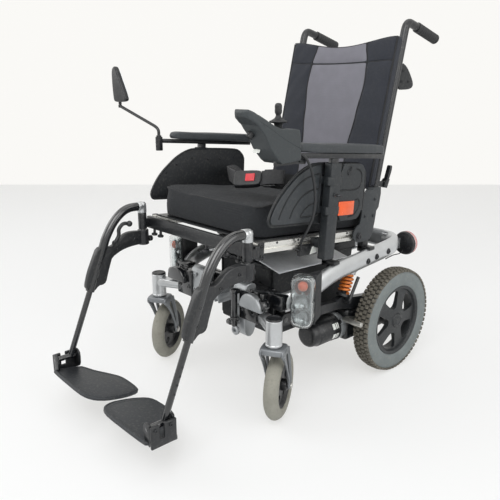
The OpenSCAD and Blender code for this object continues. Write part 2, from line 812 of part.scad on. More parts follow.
module belt_buckle() {
    color(frame_black)
        translate(buckle_at) rotate(buckle_turn)
            difference() {
                translate([0, 0, -9]) soft_block([-38, -24, 0], [38, 24, 18], 8);
                translate([-6, -12.1, 2]) cube([26, 24.2, 10]);
            }
}

module belt_button() {
    color([0.85, 0.15, 0.12])
        translate(buckle_at) rotate(buckle_turn)
            translate([-5.8, -11.9, 4.6]) cube([25.6, 23.8, 6]);
}

// ---- Legrests ----

module legrest_hanger() {
    fairing = [[-678, 471], [-657, 476], [-631, 475], [-607, 470], [-600, 432], [-628, 433], [-660, 431],
        [-688, 425], [-719, 410], [-726, 392], [-742, 346], [-747, 331], [-768, 334], [-785, 318],
        [-807, 330], [-809, 339], [-798, 376], [-764, 446], [-713, 442]];
    tube_end = leg_end - leg_dir * 146;
    color(frame_black)
        difference() {
            union() {
                slab_x(legrest_x - 10, legrest_x + 10, fairing);
                bar(leg_end, tube_end, leg_tube_r);
                translate([legrest_x, legrest_y, 430]) cylinder(h = 46, r = 17);
            }
            bar(leg_end + leg_dir * 20, leg_end - leg_dir * 140, foot_tube_r + bore_gap);
        }
    color(frame_black)
        sweep(rounded([tube_end + leg_dir * 3, tube_end - leg_dir * 18, [legrest_x, -704, 516],
            [legrest_x, -662, 549], [legrest_x, legrest_y - 6, 549]], 24), ellipse(bend_r, bend_r, 12));
    color(silver) {
        translate([legrest_x, legrest_y, 529]) cylinder(h = 30, r = leg_tube_r + 0.6);
        translate([legrest_x, legrest_y, 475]) cylinder(h = 55, r = stem_r);
    }
    // Pivot of the release lever
    color(silver) bar_x(-712, 454, 3, 216.5, 231);
    // Locking knob
    color(dark) bar_y(legrest_x - 6, 446, 9, legrest_y + 15, legrest_y + 27);
}

module legrest_lever() {
    x = legrest_x - 17;
    color(frame_black)
        difference() {
            bar_x(-712, 454, 8, x - 6, x + 6.6);
            bar_x(-712, 454, 3 + bore_gap, x - 8, x + 8);
        }
    color(frame_black) {
        sweep(rounded([[x, -709, 460], [x, -697, 476], [x, -699, 494], [x, -682, 510], [x, -664, 506]], 8),
            ellipse(5, 5, 8));
        translate([x, -661, 505]) sphere(9);
    }
}

module footplate_tube() {
    color(frame_black) {
        bar(leg_end + leg_dir * 196, leg_end - leg_dir * 84, foot_tube_r);
        bar_y(legrest_x, foot_hinge_z, 8, -911, -858);
        bar_y(legrest_x, foot_hinge_z, 5, -919, -846);
    }
}

module footplate() {
    plan = [[252, 0], [200, -4], [78, -6], [46, 0], [24, 14], [11, 42], [9, 78], [12, 112], [22, 144],
        [40, 158], [90, 161], [134, 158], [168, 136], [204, 108], [236, 94], [252, 84]];
    ear = [[228, 110], [252, 92], [252.4, 152], [246, 156], [230, 152], [224, 140]];
    color(dark) {
        translate([0, -925, 100]) rotate([-11.7, 0, 0]) linear_extrude(10) polygon(plan);
        difference() {
            union() {
                for (y = [-912, -847])
                    translate([0, y, 0]) rotate([90, 0, 0]) linear_extrude(6) polygon(ear);
                // Cheeks on either side of the leg tube, joined below it
                block([251.6, -918, 92], [259, -895, 150]);
                block([251.6, -881, 92], [259, -847, 150]);
                block([251.6, -918, 92], [259, -847, 112]);
            }
            bar_y(legrest_x, foot_hinge_z, 5 + bore_gap, -930, -820);
        }
    }
}

// ---- Nodes ----

side_tube();  // side_tube_left
right() side_tube();  // side_tube_right
rear_cross_tube();
front_cross_beam();
castor_arm();  // castor_arm_left
right() castor_arm();  // castor_arm_right
battery_box();
batteries();
battery_cover();
power_module();
front_lamp();  // front_lamp_left
right() front_lamp();  // front_lamp_right
rear_lamp();  // rear_lamp_left
right() rear_lamp();  // rear_lamp_right
swing_arm();  // swing_arm_left
right() swing_arm();  // swing_arm_right
motor();  // motor_left
right() motor();  // motor_right
freewheel_lever();  // freewheel_lever_left
right() freewheel_lever();  // freewheel_lever_right
spring();  // spring_left
right() spring();  // spring_right
drive_wheel();  // drive_wheel_left
right() drive_wheel();  // drive_wheel_right
at_castor(1) castor_fork();  // castor_fork_left
at_castor(-1) castor_fork();  // castor_fork_right
at_castor(1) castor_wheel();  // castor_wheel_left
at_castor(-1) castor_wheel();  // castor_wheel_right
union() { seat_frame(); recline_pins(); }
seat_pan();
seat_cushion();
side_guard();  // side_guard_left
right() side_guard();  // side_guard_right
armrest();  // armrest_left
union() { right() armrest(); mirror_clamp(); }  // armrest_right
arm_pad();  // arm_pad_left
right() arm_pad();  // arm_pad_right
joystick_housing();
joystick_gimbal();
joystick_stick();
power_button();
joystick_cable();
mirror_arm();
mirror_head();
back_cane();  // back_cane_left
right() back_cane();  // back_cane_right
back_lever();  // back_lever_left
right() back_lever();  // back_lever_right
back_cushion();
lap_belt();
belt_buckle();
belt_button();
legrest_hanger();  // legrest_hanger_left
right() legrest_hanger();  // legrest_hanger_right
legrest_lever();  // legrest_lever_left
right() legrest_lever();  // legrest_lever_right
footplate_tube();  // footplate_tube_left
right() footplate_tube();  // footplate_tube_right
footplate();  // footplate_left
right() footplate();  // footplate_right
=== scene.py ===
"""Looks of a power wheelchair: one class for each sub-assembly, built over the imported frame.

Shapes are drawn in millimetres in the frame of the CAD model and become pieces in metres.
+Z is up, the chair faces -Y and the occupant's left is +X.
"""

import logging
import math
from dataclasses import dataclass, field
from enum import Enum
from typing import Callable, Iterable, Sequence

import bmesh
import bpy
from mathutils import Matrix, Vector


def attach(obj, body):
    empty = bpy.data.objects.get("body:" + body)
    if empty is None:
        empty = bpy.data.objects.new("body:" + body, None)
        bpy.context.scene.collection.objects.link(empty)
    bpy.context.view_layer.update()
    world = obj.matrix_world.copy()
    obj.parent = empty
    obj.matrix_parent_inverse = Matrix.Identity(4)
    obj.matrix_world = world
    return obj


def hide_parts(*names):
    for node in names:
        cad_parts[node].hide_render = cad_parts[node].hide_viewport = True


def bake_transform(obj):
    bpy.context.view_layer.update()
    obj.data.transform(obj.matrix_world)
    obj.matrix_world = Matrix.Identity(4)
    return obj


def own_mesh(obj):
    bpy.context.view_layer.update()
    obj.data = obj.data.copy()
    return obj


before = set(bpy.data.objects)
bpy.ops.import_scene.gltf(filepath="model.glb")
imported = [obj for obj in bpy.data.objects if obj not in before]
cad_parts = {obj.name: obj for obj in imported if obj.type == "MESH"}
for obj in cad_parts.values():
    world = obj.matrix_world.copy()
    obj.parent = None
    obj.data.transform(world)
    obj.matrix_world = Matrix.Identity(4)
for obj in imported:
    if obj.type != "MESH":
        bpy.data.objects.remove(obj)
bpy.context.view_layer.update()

LOG = logging.getLogger("wheelchair")
MM = 0.001
Point = Sequence[float]


# ---- Finishes ----

class Grain(Enum):
    """Surface texture of a finish."""
    MOULDED = "moulded"
    PAINT = "paint"
    CAST = "cast"
    BRUSHED = "brushed"
    RUBBER = "rubber"
    WEAVE = "weave"
    SPACER = "spacer"
    WEBBING = "webbing"
    SMOOTH = "smooth"


def node(tree: bpy.types.NodeTree, kind: str, inputs: dict | None = None,
        **settings: str) -> bpy.types.Node:
    """Adds a node to a material or a world.

    Args:
        tree: The tree that it joins.
        kind: Its type, without "ShaderNode".
        inputs: A value, or the socket that feeds it, for an input's name or number.
        settings: Properties of the node.

    Returns:
        The node.
    """
    made = tree.nodes.new("ShaderNode" + kind)
    for name, value in settings.items():
        setattr(made, name, value)
    for name, value in (inputs or {}).items():
        if isinstance(value, bpy.types.NodeSocket):
            tree.links.new(value, made.inputs[name])
        else:
            made.inputs[name].default_value = value
    return made


@dataclass(frozen=True)
class Finish:
    """A material: its colour, gloss and the grain on its surface, in metres.

    Args:
        name: Name of the material.
        colour: Colour as written on a screen, like "#303234".
        roughness: From 0, a mirror, to 1, chalk.
        metallic: 1 for bare metal.
        grain: Kind of texture.
        size: Width of one grain.
        depth: Height of the grain.
        vary: Share by which the colour drifts over the surface.
        worn: Colour of dust and scuffs.
        wear: Share of the surface that they dull.
        coat: Clear coat.
        sheen: Sheen of fabric.
        clear: Share of light that passes through.
        glow: Light that the surface seems to give back.
    """
    name: str
    colour: str
    roughness: float = 0.5
    metallic: float = 0.0
    grain: Grain = Grain.MOULDED
    size: float = 0.0012
    depth: float = 0.00006
    vary: float = 0.10
    worn: str = "#8a8880"
    wear: float = 0.0
    coat: float = 0.0
    sheen: float = 0.0
    clear: float = 0.0
    glow: float = 0.0

    @staticmethod
    def linear(colour: str) -> tuple[float, float, float, float]:
        """Turns a screen colour into the linear values that a shader takes."""
        parts = [int(colour[i:i + 2], 16) / 255 for i in (1, 3, 5)]
        red, green, blue = [c / 12.92 if c <= 0.04045 else ((c + 0.055) / 1.055) ** 2.4 for c in parts]
        return red, green, blue, 1.0

    def _height(self, tree: bpy.types.NodeTree, place: bpy.types.NodeSocket) -> bpy.types.NodeSocket:
        """Makes the grain's height.

        Args:
            tree: Node tree of the material.
            place: Object coordinates.

        Returns:
            A socket from 0 to 1.
        """
        if self.grain in (Grain.WEAVE, Grain.WEBBING):
            waves = []
            for way in ("X", "Z", "Y"):
                wave = node(tree, "TexWave", {"Scale": 0.32 / self.size, "Distortion": 0.4,
                    "Vector": place}, wave_type="BANDS", bands_direction=way)
                waves.append(wave.outputs["Fac"])
            crossed = node(tree, "Math", {0: waves[0], 1: waves[1]}, operation="MULTIPLY")
            return node(tree, "Math", {0: crossed.outputs[0], 1: waves[2]}, operation="ADD").outputs[0]
        if self.grain is Grain.SPACER:
            cells = node(tree, "TexVoronoi", {"Scale": 1 / self.size, "Randomness": 0.35, "Vector": place})
            return cells.outputs["Distance"]
        if self.grain is Grain.BRUSHED:
            place = node(tree, "Mapping", {"Scale": (1.0, 0.05, 1.0), "Vector": place}).outputs["Vector"]
        detail = 4.0 if self.grain is Grain.CAST else 2.0
        return node(tree, "TexNoise", {"Scale": 1 / self.size, "Detail": detail,
            "Vector": place}).outputs["Fac"]

    def material(self) -> bpy.types.Material:
        """Builds the material once and returns it."""
        known = bpy.data.materials.get(self.name)
        if known:
            return known
        made = bpy.data.materials.new(self.name)
        made.use_nodes = True
        tree = made.node_tree
        tree.nodes.clear()
        place = node(tree, "TexCoord").outputs["Object"]
        base = self.linear(self.colour)
        drift = node(tree, "TexNoise", {"Scale": 26.0, "Detail": 5.0, "Vector": place}).outputs["Fac"]
        ramp = node(tree, "ValToRGB", {"Fac": drift})
        for stop, spot, share in zip(ramp.color_ramp.elements, (0.35, 0.65),
                (1 - self.vary, 1 + self.vary)):
            stop.position = spot
            stop.color = tuple(min(1.0, c * share) for c in base[:3]) + (1.0,)
        colour = ramp.outputs["Color"]
        if self.wear:
            colour = self._worn(tree, place, colour)
        gloss = node(tree, "MapRange", {"To Min": max(0.02, self.roughness - 0.06),
            "To Max": min(1.0, self.roughness + 0.06), "Value": drift})
        looks = {"Base Color": colour, "Roughness": gloss.outputs["Result"],
            "Metallic": self.metallic, "Coat Weight": self.coat, "Coat Roughness": 0.12,
            "Sheen Weight": self.sheen, "Transmission Weight": self.clear, "Emission Color": base,
            "Emission Strength": self.glow}
        if self.grain is not Grain.SMOOTH:
            height = self._height(tree, place)
            bump = node(tree, "Bump", {"Strength": 1.0, "Distance": self.depth, "Height": height})
            looks["Normal"] = bump.outputs["Normal"]
        shader = node(tree, "BsdfPrincipled", looks)
        node(tree, "OutputMaterial", {"Surface": shader.outputs["BSDF"]})
        return made

    def _worn(self, tree: bpy.types.NodeTree, place: bpy.types.NodeSocket,
            colour: bpy.types.NodeSocket) -> bpy.types.NodeSocket:
        """Lays dust and scuffs over a colour.

        Args:
            tree: Node tree of the material.
            place: Object coordinates.
            colour: The clean colour.

        Returns:
            The worn colour.
        """
        spots = node(tree, "TexNoise", {"Scale": 140.0, "Detail": 8.0, "Vector": place}).outputs["Fac"]
        share = node(tree, "MapRange", {"From Min": 0.52, "From Max": 0.72, "To Max": self.wear,
            "Value": spots})
        mix = node(tree, "Mix", data_type="RGBA", inputs={"Factor": share.outputs["Result"],
            "A": colour, "B": self.linear(self.worn)})
        return mix.outputs["Result"]


SILVER_PAINT = Finish("silver_paint", "#c3c5c6", 0.30, 0.8, Grain.PAINT, 0.0006, 0.00002, 0.04, wear=0.08,
    coat=0.3)
CAST_SILVER = Finish("cast_silver", "#a1a4a6", 0.42, 0.7, Grain.CAST, 0.0016, 0.00014, 0.09, wear=0.16,
    coat=0.1)
FORK_GREY = Finish("fork_grey", "#808386", 0.44, 0.6, Grain.CAST, 0.0016, 0.00014, 0.09, wear=0.14,
    coat=0.1)
BLACK_PAINT = Finish("black_paint", "#16181b", 0.38, 0.0, Grain.PAINT, 0.0008, 0.00004, 0.12, wear=0.10,
    coat=0.12)
GLOSS_BLACK = Finish("gloss_black_tube", "#131518", 0.2, 0.0, Grain.PAINT, 0.001, 0.00003, 0.10, wear=0.06,
    coat=0.8)
ANODISED = Finish("anodised_rail", "#d6d5d0", 0.28, 0.85, Grain.BRUSHED, 0.0004, 0.00002, 0.05, wear=0.08)
ZINC = Finish("zinc_steel", "#b4b3ae", 0.3, 0.9, Grain.BRUSHED, 0.0005, 0.00003, 0.08, wear=0.1)
BOLT_STEEL = Finish("bolt_steel", "#3a3b3d", 0.33, 0.7, Grain.PAINT, 0.0006, 0.00003, 0.12, wear=0.15)
BOX_PLASTIC = Finish("box_moulding", "#15181b", 0.55, 0.0, Grain.MOULDED, 0.0013, 0.0001, 0.12, wear=0.12)
# Grey hood painted almost white: the light that reaches it under the seat is painted into its colour.
HOOD_GREY_PAINTED_LIGHT = Finish("hood_grey_painted_light", "#eaeced", 0.5, 0.0, Grain.PAINT, 0.0012, 0.00006, 0.06, wear=0.15)
GUARD_PLASTIC = Finish("guard_plastic", "#2a2e31", 0.5, 0.0, Grain.MOULDED, 0.0012, 0.00011, 0.07,
    wear=0.07)
REAR_PLASTIC = Finish("guard_rear_plastic", "#1e2225", 0.5, 0.0, Grain.MOULDED, 0.0012, 0.00011, 0.07,
    wear=0.07)
JOYSTICK_PLASTIC = Finish("joystick_plastic", "#2e3335", 0.46, 0.0, Grain.MOULDED, 0.0009, 0.00008, 0.05,
    wear=0.05)
DARK_PLASTIC = Finish("dark_plastic", "#121417", 0.42, 0.0, Grain.MOULDED, 0.001, 0.00006, 0.1, wear=0.08)
PAD_FOAM = Finish("pad_foam", "#2d3134", 0.52, 0.0, Grain.MOULDED, 0.0022, 0.00018, 0.09, wear=0.08,
    sheen=0.05)
GRIP_RUBBER = Finish("grip_rubber", "#1e1f21", 0.6, 0.0, Grain.RUBBER, 0.0011, 0.0001, 0.1, wear=0.08)
SIDEWALL = Finish("tyre_sidewall", "#727877", 0.72, 0.0, Grain.RUBBER, 0.0016, 0.00008, 0.07,
    worn="#9a968a", wear=0.25)
TREAD = Finish("tyre_tread", "#5f5b52", 0.85, 0.0, Grain.RUBBER, 0.0016, 0.00016, 0.14, worn="#a39c8a",
    wear=0.4)
# Same rubber as the tread blocks, painted darker: painted shade in the grooves between them.
GROOVE_PAINTED_SHADE = Finish("tyre_groove_painted_shade", "#34322d", 0.9, 0.0, Grain.RUBBER, 0.0016, 0.00016, 0.14, worn="#6f6a5c",
    wear=0.3)
CASTOR_TYRE = Finish("castor_tyre", "#8e8c81", 0.7, 0.0, Grain.RUBBER, 0.0018, 0.00009, 0.06,
    worn="#6d6a60", wear=0.3)
RIM_PLASTIC = Finish("rim_plastic", "#202325", 0.48, 0.0, Grain.MOULDED, 0.0013, 0.00009, 0.08, wear=0.1)
MOTOR_BLACK = Finish("motor_black", "#131518", 0.36, 0.1, Grain.PAINT, 0.0012, 0.00005, 0.14, wear=0.12,
    coat=0.15)
SPRING_ORANGE = Finish("spring_orange", "#d9772b", 0.36, 0.25, Grain.PAINT, 0.0008, 0.00003, 0.1, wear=0.12,
    coat=0.25)
LENS_CLEAR = Finish("lens_clear", "#eef1f1", 0.05, 0.0, Grain.SMOOTH, vary=0.02, clear=0.97, coat=0.5)
LAMP_BOWL = Finish("lamp_bowl", "#8c9192", 0.2, 0.9, Grain.PAINT, 0.002, 0.00005, 0.06)
BULB_ORANGE = Finish("bulb_orange", "#e8622a", 0.3, 0.0, Grain.SMOOTH, vary=0.06, coat=0.3)
LENS_REAR = Finish("lens_rear", "#e6dcda", 0.16, 0.0, Grain.SMOOTH, vary=0.04, clear=0.15, coat=0.4)
LENS_RED = Finish("lens_red", "#d79c97", 0.16, 0.0, Grain.SMOOTH, vary=0.08, clear=0.2, coat=0.4)
# The reflector gives off a little light of its own (glow) though it is no lamp: painted light.
REFLECTOR = Finish("reflector_orange", "#e2581c", 0.26, 0.0, Grain.SPACER, 0.0026, 0.0002, 0.06, coat=0.4,
    glow=0.05)
BARE_LABEL = Finish("bare_label", "#e4e6df", 0.42, 0.0, Grain.PAINT, 0.002, 0.00002, 0.03)
CUSHION_BLACK = Finish("cushion_fabric", "#15181c", 0.88, 0.0, Grain.WEAVE, 0.0011, 0.00022, 0.09,
    wear=0.03, sheen=0.04)
BACK_DARK = Finish("back_cloth", "#24272f", 0.85, 0.0, Grain.WEAVE, 0.001, 0.0002, 0.07, wear=0.03,
    sheen=0.05)
BACK_GREY = Finish("back_spacer", "#74737a", 0.88, 0.0, Grain.SPACER, 0.0022, 0.00035, 0.05, wear=0.03,
    sheen=0.1)
PIPING = Finish("seam_piping", "#0d0e10", 0.75, 0.0, Grain.WEAVE, 0.0008, 0.0001, 0.08, sheen=0.1)
WEBBING = Finish("belt_webbing", "#1d1e21", 0.66, 0.0, Grain.WEBBING, 0.0013, 0.00025, 0.1, wear=0.06,
    sheen=0.1)
BUTTON_RED = Finish("red_button", "#cf2f38", 0.34, 0.0, Grain.MOULDED, 0.001, 0.00004, 0.05, coat=0.2)
# The mirror glass gives off a little light of its own (glow): a painted reflection.
MIRROR_GLASS = Finish("mirror_glass", "#e8edf1", 0.03, 1.0, Grain.SMOOTH, vary=0.01, glow=0.12)
CABLE_BLACK = Finish("cable_black", "#202123", 0.5, 0.0, Grain.RUBBER, 0.0012, 0.00004, 0.08, wear=0.05)
FOOTPLATE = Finish("footplate_plastic", "#25282c", 0.52, 0.0, Grain.MOULDED, 0.0016, 0.00014, 0.08,
    wear=0.16)


# ---- Shapes ----

class Side(Enum):
    """Side of the chair, as the sign of X."""
    LEFT = 1
    RIGHT = -1

    @property
    def tag(self) -> str:
        """Ending of the names on this side."""
        return "_left" if self is Side.LEFT else "_right"


class Plane(Enum):
    """Plane of an outline, with the axis that its thickness runs along."""
    X = Matrix(((0, 0, 1, 0), (1, 0, 0, 0), (0, 1, 0, 0), (0, 0, 0, 1)))
    Y = Matrix(((1, 0, 0, 0), (0, 0, 1, 0), (0, 1, 0, 0), (0, 0, 0, 1)))
    Z = Matrix.Identity(4)


def turned(axis: str, degrees: float, at: Point = (0, 0, 0)) -> Matrix:
    """A frame at a point, turned about one axis."""
    return Matrix.Translation(Vector(at)) @ Matrix.Rotation(math.radians(degrees), 4, axis)


# Frame of the seat: Y back along the rails, Z up from their centre line.
TILTED = turned("X", -4.5, (0, -172, 468))
# Frame of the back cushion: Z up its front face from its lower edge.
RECLINED = turned("X", -13, (0, -81, 596))


def rounded(route: Sequence[Point], reach: float, steps: int = 5) -> list[Vector]:
    """Rounds the inner corners of a route.

    Args:
        route: Points of the route.
        reach: How far from each corner the bend starts.
        steps: Points in each bend.

    Returns:
        The points of the smooth route.
    """
    points = [Vector(p) for p in route]
    smooth = [points[0]]
    for before, here, after in zip(points, points[1:], points[2:]):
        start = here + (before - here).normalized() * min(reach, (before - here).length / 2)
        end = here + (after - here).normalized() * min(reach, (after - here).length / 2)
        for i in range(steps + 1):
            t = i / steps
            smooth.append(start * (1 - t) ** 2 + here * 2 * t * (1 - t) + end * t * t)
    return smooth + [points[-1]]


def soft_outline(outline: Sequence[Point], rounds: int = 2) -> list[Vector]:
    """Cuts the corners of a closed outline, so that it runs smooth."""
    points = [Vector(p) for p in outline]
    for _ in range(rounds):
        ring = []
        for here, after in zip(points, points[1:] + points[:1]):
            ring += [here.lerp(after, 0.22), here.lerp(after, 0.78)]
        points = ring
    return points


def mirrored(half: Sequence[Point], middle: Sequence[Point] = ()) -> list[Point]:
    """A [radius, height] profile from its upper half, over its middle, to the same below."""
    return [*half, *middle, *((r, -h) for r, h in reversed(half))]


def ellipse(wide: float, high: float, count: int = 24) -> list[tuple[float, float]]:
    """Points of an ellipse with these half sizes."""
    return [(wide * math.cos(math.tau * i / count), high * math.sin(math.tau * i / count))
        for i in range(count)]


class Shape:
    """Solids of one piece, gathered in millimetres on the left of the chair."""

    def __init__(self, place: Matrix = Matrix.Identity(4)) -> None:
        """Starts an empty shape whose parts are drawn in the frame `place`."""
        self.bm = bmesh.new()
        self.place = place

    def add(self, part: bmesh.types.BMesh, turn: Matrix = Matrix.Identity(4)) -> "Shape":
        """Takes in one part and frees it.

        Args:
            part: Part with closed shells.
            turn: Place of the part in this shape's frame.

        Returns:
            This shape.
        """
        bmesh.ops.transform(part, matrix=self.place @ turn, verts=part.verts)
        bmesh.ops.recalc_face_normals(part, faces=part.faces)
        mesh = bpy.data.meshes.new("part")
        part.to_mesh(mesh)
        part.free()
        self.bm.from_mesh(mesh)
        bpy.data.meshes.remove(mesh)
        return self

    def block(self, low: Point, high: Point, bevel: float = 1.2, segments: int = 2,
            turn: Matrix = Matrix.Identity(4)) -> "Shape":
        """A box between two corners with rounded edges."""
        low, high = Vector(low), Vector(high)
        part = bmesh.new()
        bmesh.ops.create_cube(part, size=1.0)
        bmesh.ops.scale(part, vec=high - low, verts=part.verts)
        bmesh.ops.translate(part, vec=(low + high) / 2, verts=part.verts)
        limit = min(high - low) / 2.1
        if bevel > 0:
            bmesh.ops.bevel(part, geom=list(part.edges), offset=min(bevel, limit),
                segments=segments, profile=0.5, affect="EDGES", material=-1)
        return self.add(part, turn)

    def plate(self, outline: Sequence[Point], low: float, high: float, plane: Plane = Plane.X,
            bevel: float = 1.0, segments: int = 2, turn: Matrix = Matrix.Identity(4)) -> "Shape":
        """An outline given thickness from `low` to `high` along its plane's axis, with rounded rims."""
        part = bmesh.new()
        ring = [part.verts.new((p[0], p[1], low)) for p in outline]
        face = part.faces.new(ring)
        grown = bmesh.ops.extrude_face_region(part, geom=[face])
        top = [v for v in grown["geom"] if isinstance(v, bmesh.types.BMVert)]
        bmesh.ops.translate(part, vec=(0, 0, high - low), verts=top)
        if bevel > 0:
            rims = [e for e in part.edges if abs(e.verts[0].co.z - e.verts[1].co.z) < 1e-6]
            bmesh.ops.bevel(part, geom=rims, offset=bevel, segments=segments, profile=0.5, affect="EDGES",
                clamp_overlap=True, material=-1)
        return self.add(part, turn @ plane.value)

    def rod(self, start: Point, end: Point, radius: float, end_radius: float | None = None,
            bevel: float = 0.8, sides: int = 32) -> "Shape":
        """A round bar between two points with rounded ends."""
        start, end = Vector(start), Vector(end)
        way = end - start
        part = bmesh.new()
        bmesh.ops.create_cone(part, cap_ends=True, segments=sides, radius1=radius,
            radius2=radius if end_radius is None else end_radius, depth=way.length)
        rims = [e for e in part.edges if abs(e.verts[0].co.z - e.verts[1].co.z) < 1e-6]
        if bevel > 0:
            bmesh.ops.bevel(part, geom=rims, offset=min(bevel, way.length / 2.2),
                segments=2, profile=0.5, affect="EDGES", material=-1)
        spun = Vector((0, 0, 1)).rotation_difference(way.normalized()).to_matrix().to_4x4()
        return self.add(part, Matrix.Translation((start + end) / 2) @ spun)

    def lathe(self, profile: Sequence[Point], centre: Point, axis: Point = (0, 0, 1),
            sides: int = 64, closed: bool = False, arc: float = 360.0, start: float = 0.0,
            wall: float = 0.0) -> "Shape":
        """A [radius, height] profile spun about an axis.

        Args:
            profile: Points from the axis outwards.
            centre: Point where height is 0.
            axis: Direction of the axis.
            sides: Steps of a full turn.
            closed: Whether the profile is a ring.
            arc: Part of the turn that is made, in degrees.
            start: Angle where the arc starts.
            wall: Thickness given to a part turn.

        Returns:
            This shape.
        """
        part = bmesh.new()
        points = [part.verts.new((r, 0, h)) for r, h in profile]
        edges = [part.edges.new(pair) for pair in zip(points, points[1:])]
        if closed:
            edges.append(part.edges.new((points[-1], points[0])))
        steps = max(2, round(sides * arc / 360))
        bmesh.ops.spin(part, geom=points + edges, cent=(0, 0, 0), axis=(0, 0, 1), angle=math.radians(arc),
            steps=steps, use_merge=arc >= 360)
        bmesh.ops.remove_doubles(part, verts=part.verts, dist=1e-4)
        bmesh.ops.recalc_face_normals(part, faces=part.faces)
        if wall:
            bmesh.ops.solidify(part, geom=list(part.faces), thickness=wall)
        spun = Vector((0, 0, 1)).rotation_difference(Vector(axis).normalized()).to_matrix().to_4x4()
        return self.add(part, Matrix.Translation(Vector(centre)) @ spun @ turned("Z", start))

    def tube(self, route: Sequence[Point], section: float | Sequence[Point],
            sides: int = 16, twist: str = "MINIMUM", tilt: float = 0.0) -> "Shape":
        """A section swept along a route.

        Args:
            route: Points of the route.
            section: Radius of a round bar, or the points of a closed section.
            sides: Sides of a round bar.
            twist: How the section turns along the route.
            tilt: Turn of the section about the route, in degrees.

        Returns:
            This shape.
        """
        ring = ellipse(section, section, sides) if isinstance(section, (int, float)) else section
        curves = []
        for name, points, cyclic in (("section", [(*p, 0.0) for p in ring], True), ("route", route, False)):
            data = bpy.data.curves.new(name, "CURVE")
            data.dimensions = "3D"
            spline = data.splines.new("POLY")
            spline.points.add(len(points) - 1)
            for target, source in zip(spline.points, points):
                target.co = (*source, 1.0)
                target.tilt = math.radians(tilt)
            spline.use_cyclic_u = cyclic
            curves.append(bpy.data.objects.new(name, data))
            bpy.context.scene.collection.objects.link(curves[-1])
        line = curves[1].data
        line.bevel_mode = "OBJECT"
        line.bevel_object = curves[0]
        line.use_fill_caps = True
        line.twist_mode = twist
        bpy.context.view_layer.update()
        mesh = bpy.data.meshes.new_from_object(curves[1].evaluated_get(bpy.context.evaluated_depsgraph_get()))
        part = bmesh.new()
        part.from_mesh(mesh)
        bmesh.ops.remove_doubles(part, verts=part.verts, dist=1e-4)
        for thing in curves:
            data = thing.data
            bpy.data.objects.remove(thing)
            bpy.data.curves.remove(data)
        bpy.data.meshes.remove(mesh)
        return self.add(part)

    def screw(self, at: Point, axis: Point, radius: float, height: float, washer: float = 0.0) -> "Shape":
        """A socket screw: a domed head with a six-sided recess, standing on `at`."""
        if washer:
            self.lathe([(0, 0), (washer, 0), (washer, 1.2), (washer - 0.6, 1.8), (0, 1.8)], at, axis, 28)
        inner = radius * 0.48
        self.lathe([(0, height * 0.45), (inner, height * 0.45), (inner, height), (radius * 0.8, height),
            (radius, height * 0.72), (radius, 0), (0, 0)], at, axis, 24)
        return self

    def combine(self, other: "Shape", operation: str = "DIFFERENCE") -> "Shape":
        """Cuts, joins or intersects this shape with another one, which is used up.

        Args:
            other: The tool.
            operation: A Boolean modifier's operation.

        Returns:
            This shape.
        """
        made = []
        for name, source in (("body", self.bm), ("tool", other.bm)):
            mesh = bpy.data.meshes.new(name)
            source.to_mesh(mesh)
            source.free()
            made.append(bpy.data.objects.new(name, mesh))
            bpy.context.scene.collection.objects.link(made[-1])
        change = made[0].modifiers.new("cut", "BOOLEAN")
        change.operation = operation
        change.solver = "EXACT"
        change.use_self = True
        change.object = made[1]
        self._settle(made[0], made[1:])
        return self

    def melt(self, voxel: float, smooth: int = 4) -> "Shape":
        """Melts the parts into one skin with soft edges.

        Args:
            voxel: Grid size in millimetres.
            smooth: Rounds of smoothing.

        Returns:
            This shape.
        """
        mesh = bpy.data.meshes.new("skin")
        self.bm.to_mesh(mesh)
        self.bm.free()
        skin = bpy.data.objects.new("skin", mesh)
        bpy.context.scene.collection.objects.link(skin)
        remesh = skin.modifiers.new("remesh", "REMESH")
        remesh.mode = "VOXEL"
        remesh.voxel_size = voxel
        remesh.use_smooth_shade = True
        soften = skin.modifiers.new("soften", "SMOOTH")
        soften.factor = 0.5
        soften.iterations = smooth
        self._settle(skin, [])
        return self

    def mesh(self) -> bpy.types.Mesh:
        """Hands this shape's parts over as a mesh."""
        made = bpy.data.meshes.new("parts")
        self.bm.to_mesh(made)
        self.bm.free()
        return made

    def _settle(self, thing: bpy.types.Object, tools: Iterable[bpy.types.Object]) -> None:
        """Reads a modified object back into this shape and removes it with its tools."""
        bpy.context.view_layer.update()
        mesh = bpy.data.meshes.new_from_object(thing.evaluated_get(bpy.context.evaluated_depsgraph_get()))
        self.bm = bmesh.new()
        self.bm.from_mesh(mesh)
        bpy.data.meshes.remove(mesh)
        for used in [thing, *tools]:
            data = used.data
            bpy.data.objects.remove(used)
            bpy.data.meshes.remove(data)

